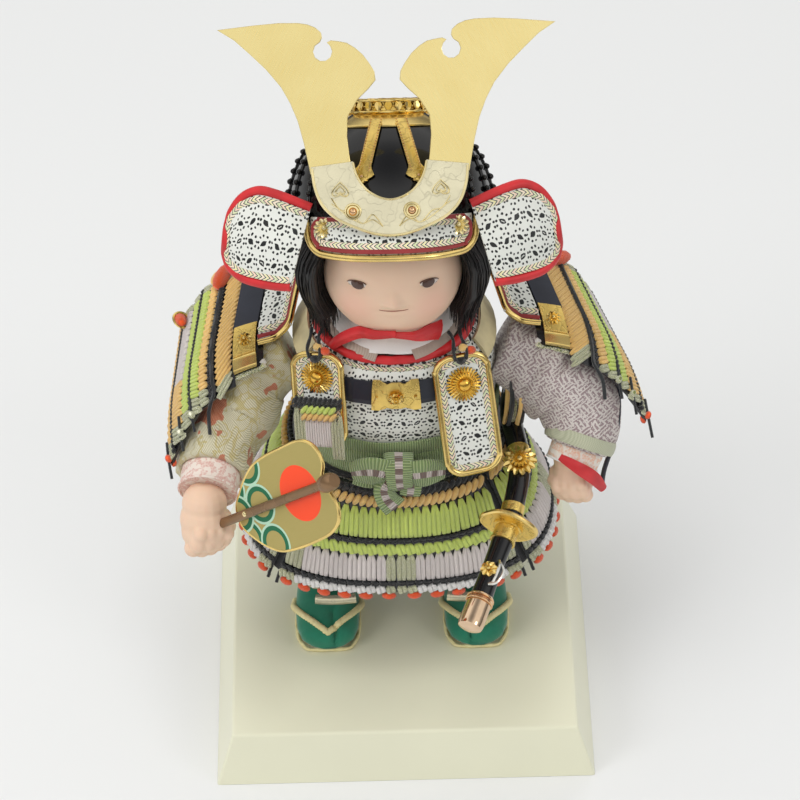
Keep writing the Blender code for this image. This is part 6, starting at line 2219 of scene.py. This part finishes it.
def fist(side, word, wrist_way, palm_way):
    """A chubby fist: a palm, four curled fingers and a thumb, melted together by a fine remesh."""
    at = HAND_AT[side]
    size = HAND_SIZE[side]
    down = -wrist_way.normalized()
    front = (palm_way - down * palm_way.dot(down)).normalized()
    across = down.cross(front)
    bits = Bits()

    def lump(u, v, w, r, tall=1.0):
        centre = at + size * (across * u + front * v + down * w)
        rows = []
        for k in range(1, 10):
            t = pi * k / 10
            rows.append(circle(18, size * r * sin(t), across, front,
                               centre + size * r * tall * cos(t) * down))
        bits.grid(rows, wrap=True, caps=True)

    lump(0, -0.05, -0.28, 0.8, 1.0)
    lump(0, -0.05, -0.8, 0.74, 1.0)
    lump(0, 0.0, 0.1, 0.78, 0.95)
    for k in range(4):
        u = -0.48 + 0.32 * k
        reach = 0.1 * cos(k - 1.5)
        lump(u, 0.34 + reach, 0.3, 0.3, 1.25)
        lump(u, 0.06, 0.6 + reach, 0.3, 1.0)
        lump(u, 0.5 + reach * 0.5, -0.02, 0.25, 1.1)
    for k, (u, v, w) in enumerate(((-side * -0.62, 0.1, -0.25), (-side * -0.66, 0.34, -0.02),
                                   (-side * -0.48, 0.58, 0.12))):
        lump(u, v, w, 0.3 - 0.03 * k, 1.0)
    thing = bits.make("hand_skin_" + word, SKIN, "hand_" + word, 180, slot="doll_skin")
    melt = thing.modifiers.new("melt", "REMESH")
    melt.mode = "VOXEL"
    melt.voxel_size = 0.00045
    merged = settled(thing)
    thing.modifiers.remove(melt)
    bm = bmesh.new()
    bm.from_mesh(merged)
    for _ in range(11):
        bmesh.ops.smooth_vert(bm, verts=bm.verts, factor=0.5, use_axis_x=True, use_axis_y=True,
                              use_axis_z=True)
    bm.to_mesh(merged)
    bm.free()
    merged.materials.clear()
    merged.materials.append(SKIN.material)
    merged.shade_smooth()
    thing.data = merged


ends = {side: sleeve(side, word, paint, slot) for side, word, paint, slot in
        ((RIGHT, "right", BROCADE, "brocade"), (LEFT, "left", KEY_PRINT, "key_print_cloth"))}
cuff(RIGHT, "right", *ends[RIGHT], CUFF_ROSE)
cuff(LEFT, "left", *ends[LEFT], CUFF_ORANGE)
left_sleeve_trim(*ends[LEFT])
fist(RIGHT, "right", Vector((0.05, 0.35, 0.9)), Vector((0.55, -0.8, 0.2)))
fist(LEFT, "left", Vector((-0.05, 0.3, 0.95)), Vector((-0.35, -0.9, 0.1)))
print("arms made")

# %% [markdown]
# The war fan is a flat plate, painted olive gold, with the old design of a red sun over green waves. The
# paint is worked out in the fan's own axes: a along the handle and b across it, in millimetres.

# %% Fan
FAN_AT = Vector((-0.0489, -0.078, 0.1899))
FAN_A = Vector((0.629, -0.397, 0.669)).normalized()
FAN_B = Vector((-0.345, 0.629, 0.699))
FAN_B = (FAN_B - FAN_A * FAN_B.dot(FAN_A)).normalized()
FAN_BACK = FAN_B.cross(FAN_A)
FAN = ((19.0, -1.0), (19.2, 4.5), (22.6, 9.0), (23.4, 14.0), (21.0, 20.0), (15.5, 23.8), (8.0, 25.0),
       (-3.0, 24.6), (-16.0, 23.8), (-28.0, 21.6), (-38.0, 16.5), (-46.0, 10.5), (-51.5, 5.5), (-53.4, 0.0),
       (-52.6, -6.5), (-46.0, -14.5), (-38.0, -20.8), (-29.2, -24.4), (-16.0, -25.4), (-3.0, -25.2),
       (8.0, -24.2), (15.5, -21.6), (19.8, -17.5), (21.6, -12.0), (20.4, -6.5))
WAVES = ((-50.0, 14.5, 9.0), (-33.0, 2.0, 9.5), (-50.0, -12.5, 9.0), (-33.0, 23.0, 9.5), (-33.0, -19.5, 9.5),
         (-51.0, 1.0, 9.0))


def fan_spot(a, b, out=0.0):
    return FAN_AT + (FAN_A * a + FAN_B * b) / MM - FAN_BACK * out


def fan_finish():
    p = Paint("fan_paint", 0.36, 0.45)
    at = p.add("ShaderNodeTexCoord", out=3)
    at = p.add("ShaderNodeVectorMath", {"operation": "SUBTRACT"}, {0: at, 1: tuple(FAN_AT)})
    a = p.add("ShaderNodeVectorMath", {"operation": "DOT_PRODUCT"}, {0: at, 1: tuple(FAN_A)}, out=1) * MM
    b = p.add("ShaderNodeVectorMath", {"operation": "DOT_PRODUCT"}, {0: at, 1: tuple(FAN_B)}, out=1) * MM
    brush = p.noise(1.0, 3.0, p.vector(a * 0.15, b * 3.0))
    olive = p.mix(brush * 0.5, (0.42, 0.34, 0.1), (0.54, 0.44, 0.17))
    paint = olive
    for ca, cb, r in WAVES:
        away = ((a - ca) * (a - ca) + (b - cb) * (b - cb)).root()
        inside = away < r + 1.3
        paint = p.mix(inside, paint, olive)
        paint = p.mix(inside * (away > r - 0.1), paint, (0.5, 0.74, 0.56))
        paint = p.mix((away > r - 2.6) * (away < r), paint, (0.012, 0.16, 0.07))
    sun = ((a + 0.6) * (a + 0.6) + b * b).root() < 14.7
    paint = p.mix(sun, paint, (1.0, 0.06, 0.0))
    p.colour(paint)
    p.metal((1.0 - sun) * 0.45)
    p.rough(brush * 0.15 + 0.3)
    p.bump(brush, 0.02, 0.4)
    return p


def fan():
    coat("fan_blade", fan_finish())
    edge = smooth_path([fan_spot(a, b, -0.0008) for a, b in FAN], 150, True)
    rod(Bits(), edge, 0.001, 8, closed=True).make("fan_edge", GILT)
    bits = Bits()
    stick = [fan_spot(a, 0, 0.0027) for a in spread(-70.0, 23.5, 30)]
    rod(bits, stick, 0.0025, 16)
    knob = [fan_spot(a, 0, 0.003) for a in spread(21.8, 31.0, 12)]
    rod(bits, knob, lambda s: 0.0026 + 0.0023 * sin(pi * min(1.0, 0.15 + 0.8 * s)) ** 0.5, 18)
    bits.make("fan_stick", BRONZE, "fan_handle", slot="stick_bronze")
    pin = [(fan_spot(-41.5, 0.3, 0.0052), FAN_A, -FAN_BACK, (0.003, 0.003, 0.0018), 0.0)]
    set_out("fan_pin", pin, BEAD, PALE_GILT)


fan()
print("fan painted")

# %% [markdown]
# The sword hangs at the left hip. Its guard has four soft lobes and an engraved face; behind the guard the
# grip is black lacquer with a gilt flower and a silvered ornament, and the pommel is polished.

# %% Sword
SWORD_AT = Vector((0.0561, -0.055, 0.1415))
SWORD_AXIS = Vector((-0.353, -0.892, -0.289)).normalized()
SWORD_X = SWORD_AXIS.cross(Vector((0, 0, 1))).normalized()
SWORD_Y = SWORD_AXIS.cross(SWORD_X)


def sword_ring(along, radius, count=48, lobes=0.0, squash=1.0):
    made = []
    for t in around(count):
        r = radius * (1 + lobes * cos(4 * t))
        made.append(SWORD_AT + SWORD_AXIS * along + r * (cos(t) * SWORD_X + squash * sin(t) * SWORD_Y))
    return made


def sword_turned(name, stations, paint, replaces=(), slot=None):
    bits = Bits()
    bits.grid([sword_ring(*s) for s in stations], wrap=True, caps=True)
    return bits.make(name, paint, replaces, 40, slot=slot)


def sword():
    disc = ((-0.0012, 0.0128), (-0.0013, 0.0136), (-0.0004, 0.0143), (0.0006, 0.0143), (0.0014, 0.0136),
            (0.0012, 0.0122))
    sword_turned("guard_of_sword", [(z, r, 48, 0.045, 0.9) for z, r in disc], GILT_ENGRAVED, "sword_guard",
                 "gilt_metal")
    collar_ = ((0.001, 0.0078), (0.0024, 0.0078), (0.0026, 0.0064), (0.0092, 0.0062), (0.0094, 0.0067),
               (0.0104, 0.0067), (0.0105, 0.006))
    sword_turned("guard_collar", [(z, r, 48) for z, r in collar_], GILT_ENGRAVED)
    rod(Bits(), sword_ring(0.0, 0.0142, 64, 0.045, 0.9), 0.0013, 8, closed=True).make("guard_rim", GILT)
    grip = [(0.0102, 0.0057), (0.018, 0.0054), (0.027, 0.0053), (0.036, 0.0055), (0.0435, 0.0058)]
    sword_turned("grip_lacquer", [(z, r, 40) for z, r in grip], BLACK_LACQUER, "sword_grip", "black_lacquer")
    pommel = [(0.0434, 0.0063), (0.044, 0.0067), (0.046, 0.0067), (0.0463, 0.0064), (0.06, 0.0066),
              (0.0618, 0.0062), (0.0626, 0.0048), (0.0628, 0.002)]
    sword_turned("pommel_polished", [(z, r, 40, 0.02, 0.92) for z, r in pommel], MIRROR_GILT, "sword_pommel",
                 "pale_gilt_metal")
    rings = Bits()
    for z in (0.045, 0.0472):
        rod(rings, sword_ring(z, 0.0068, 40), 0.0005, 6, closed=True)
    rings.make("pommel_rings", ROSE_GILT)
    face = (-SWORD_Y if SWORD_Y.z < 0 else SWORD_Y)
    hub = SWORD_AT + SWORD_AXIS * 0.03 + face * 0.0056
    petals, button = rosette(hub, face, 0.0044, 8, 0.0016)
    set_out("grip_flower", petals, PETAL, GILT)
    set_out("grip_flower_button", [button], BEAD, GILT)
    curl = Bits()
    side = SWORD_X * (1 if SWORD_X.x > 0 else -1)
    for lift, reach in ((0.0, 1.0), (0.0018, 0.7)):
        path = [hub + side * 0.0035 + SWORD_AXIS * -0.006,
                hub + side * (0.0075 * reach) + SWORD_AXIS * -0.001 + face * lift,
                hub + side * (0.0065 * reach) + SWORD_AXIS * 0.006,
                hub + side * 0.0025 + SWORD_AXIS * 0.0085]
        rod(curl, smooth_path(path, 20), 0.0008, 8)
    curl.make("grip_ornament", SILVER)


def scabbard():
    begin = SWORD_AT - SWORD_AXIS * 0.0017
    points = [begin, Vector((0.0631, -0.0225, 0.152)), Vector((0.0598, 0.015, 0.1566)),
              Vector((0.064, 0.05, 0.152)),
              Vector((0.07, 0.088, 0.14))]
    path = smooth_path(points, 60)
    rod(Bits(), path, lambda s: 0.0056 if s < 0.97 else 0.0056 - 0.05 * (s - 0.97), 20).make(
        "scabbard_lacquer", BLACK_LACQUER, "scabbard", 50, slot="black_lacquer")
    bands = Bits()
    for i in (2, 16, 57):
        rod(bands, path[i:i + 3], 0.0061, 20)
    bands.make("scabbard_bands", GILT_ENGRAVED)
    up = Vector((-0.02, -0.27, 0.96)).normalized()
    hub = Vector((0.0631, -0.0225, 0.152)) + up * 0.0064
    petals, button = rosette(hub, up, 0.009, 14, 0.0022, 2)
    set_out("scabbard_petals", petals, PETAL, GILT, replaces="scabbard_flower")
    set_out("scabbard_petal_button", [button], BEAD, GILT)


sword()
scabbard()
print("sword made")

# %% [markdown]
# The boots are green suede socks with a split toe, on straw sandals with a twisted strap. Gilt splints guard
# the shins, over brocade trousers that the skirt hides.

# %% Feet
BOOT = ((-0.0315, 0.005, 0.0045), (-0.0305, 0.0095, 0.0075), (-0.027, 0.014, 0.0105), (-0.02, 0.0165, 0.013),
        (-0.01, 0.0172, 0.015), (0.002, 0.0168, 0.018), (0.014, 0.0156, 0.02), (0.024, 0.0138, 0.019),
        (0.031, 0.0095, 0.014), (0.033, 0.005, 0.007))
FOOT_X = 0.04
BOOT_FOOT = 0.0306


def suede():
    p = Paint("boot_suede", 0.85, sheen_weight=0.5)
    nap = p.noise(420.0, 3.0)
    cloud = p.noise(50.0, 2.0)
    p.colour(p.mix(nap * 0.4 + cloud * 0.6, (0.006, 0.13, 0.075), (0.016, 0.26, 0.15)))
    p.bump(nap, 0.1, 0.6)
    return p


def straw():
    p = Paint("sandal_straw", 0.75)
    fibre = p.noise(500.0, 3.0)
    p.colour(p.mix(fibre, (0.66, 0.56, 0.24), (0.9, 0.82, 0.48)))
    p.bump(fibre, 0.12, 0.8)
    return p


SUEDE = suede()
STRAW = straw()
TROUSERS = cloth("trouser_brocade", (0.1, 0.14, 0.3), (0.02, 0.03, 0.08), 0.6)
PACKED_CLOTH = cloth("packed_cloth", (0.55, 0.5, 0.4), (0.4, 0.35, 0.27), 1.0)


def boot_section(y):
    if y <= BOOT[0][0]:
        return BOOT[0]
    for low, high in zip(BOOT, BOOT[1:]):
        if y <= high[0]:
            t = (y - low[0]) / (high[0] - low[0])
            t = t * t * (3 - 2 * t) * 0.5 + t * 0.5
            return (y, low[1] + t * (high[1] - low[1]), low[2] + t * (high[2] - low[2]))
    return BOOT[-1]


def boot_point(side, y, a, out=0.0):
    _, half, tall = boot_section(y)
    x = (half + out) * power(sin(a), 0.8)
    lift = power(cos(a), 0.8)
    z = BOOT_FOOT + tall * 0.36 + ((tall * 0.64 + out) * lift if lift > 0 else tall * 0.36 * lift)
    split = 0.0
    if lift > 0:
        split = exp(-((x - side * -0.0035) / 0.0011) ** 2) * max(0.0, min(1.0, (-0.006 - y) / 0.012))
    return Vector((side * FOOT_X + x, y + split * 0.0014, z - split * 0.003))


def foot(side, word):
    bits = Bits()
    rows = []
    for k in range(30):
        y = -0.0315 + 0.0645 * (1 - cos(pi * k / 29)) / 2
        rows.append([boot_point(side, y, a) for a in around(56)])
    bits.grid(rows, wrap=True, caps=True)
    ankle = []
    for z, r in ((0.04, 0.0144), (0.048, 0.0141), (0.0555, 0.0139), (0.0585, 0.0136), (0.0588, 0.012)):
        ankle.append([Vector((side * FOOT_X + r * sin(a), 0.012 - r * cos(a), z)) for a in
                      around(40)])
    bits.grid(ankle, wrap=True, caps=True)
    bits.make("boot_suede_" + word, SUEDE, "boot_" + word, 60, slot="boot_suede")
    sole = Bits()
    outline = [(s[1] - 0.0004, s[0]) for s in BOOT[1:-1]]
    outline += [(-x, y) for x, y in reversed(outline)]
    ring = smooth_path([Vector((side * FOOT_X + x, y, 0.0293)) for x, y in outline], 90, True)
    middle = Vector((side * FOOT_X, 0, 0.0293))
    for share in spread(0.12, 1.0, 7):
        cord(sole, [middle + (p - middle) * share for p in ring], 0.001 if share < 1 else 0.0011, 0.0016, 2,
             6, closed=True)
    path = []
    for k in range(41):
        across = -1 + k / 20
        y = 0.002 - 0.031 * (1 - abs(across)) ** 0.9
        path.append(boot_point(side, y, across * radians(108), 0.0013))
    feet = [Vector((p.x, p.y + 0.001, 0.0296)) for p in (path[0], path[-1])]
    cord(sole, smooth_path([feet[0], *path, feet[1]], 150), 0.0019, 0.0018, 2, 9)
    sole.make("sandal_straw_" + word, STRAW, "sandal_" + word, 60, slot="sandal_straw")
    coat("leg_" + word, TROUSERS)
    splints = Bits()
    for k in range(7):
        a = radians(-36 + 12 * k)
        path = []
        for z in spread(0.0492, 0.0978, 12):
            t = max(0.0, (z - 0.059) / 0.0587)
            r = 0.0155 + 0.0012
            x = side * (FOOT_X - 0.012 * t) + r * sin(a)
            path.append(Vector((x, 0.012 + 0.006 * t - r * cos(a), z)))
        ups = [Vector((sin(a), -cos(a), 0))] * 12
        ribbon(splints, path, ups, 0.0031, 0.0007, 0.0004)
    for z in (0.05, 0.056):
        ring = [Vector((side * FOOT_X + 0.0172 * sin(a), 0.012 - 0.0172 * cos(a), z)) for a in
                spread(radians(-39), radians(39), 20)]
        rod(splints, ring, 0.0007, 6)
    path = [Vector((side * (FOOT_X - 0.0045) + x, -0.0112 + 9.0 * x * x, 0.0474))
            for x in spread(-0.0108, 0.0108, 9)]
    ribbon(splints, path, [Vector((0, -0.8, 0.6))] * 9, 0.0052, 0.001, 0.0006)
    splints.make("shin_splints_" + word, PALE_ENGRAVED, "shin_guard_" + word, 60, slot="gilt_metal")


for side, word in SIDES:
    foot(side, word)
coat("torso", PACKED_CLOTH)
for _, word in SIDES:
    coat("shoulder_strap_" + word, CREAM_LEATHER)
print("feet made")
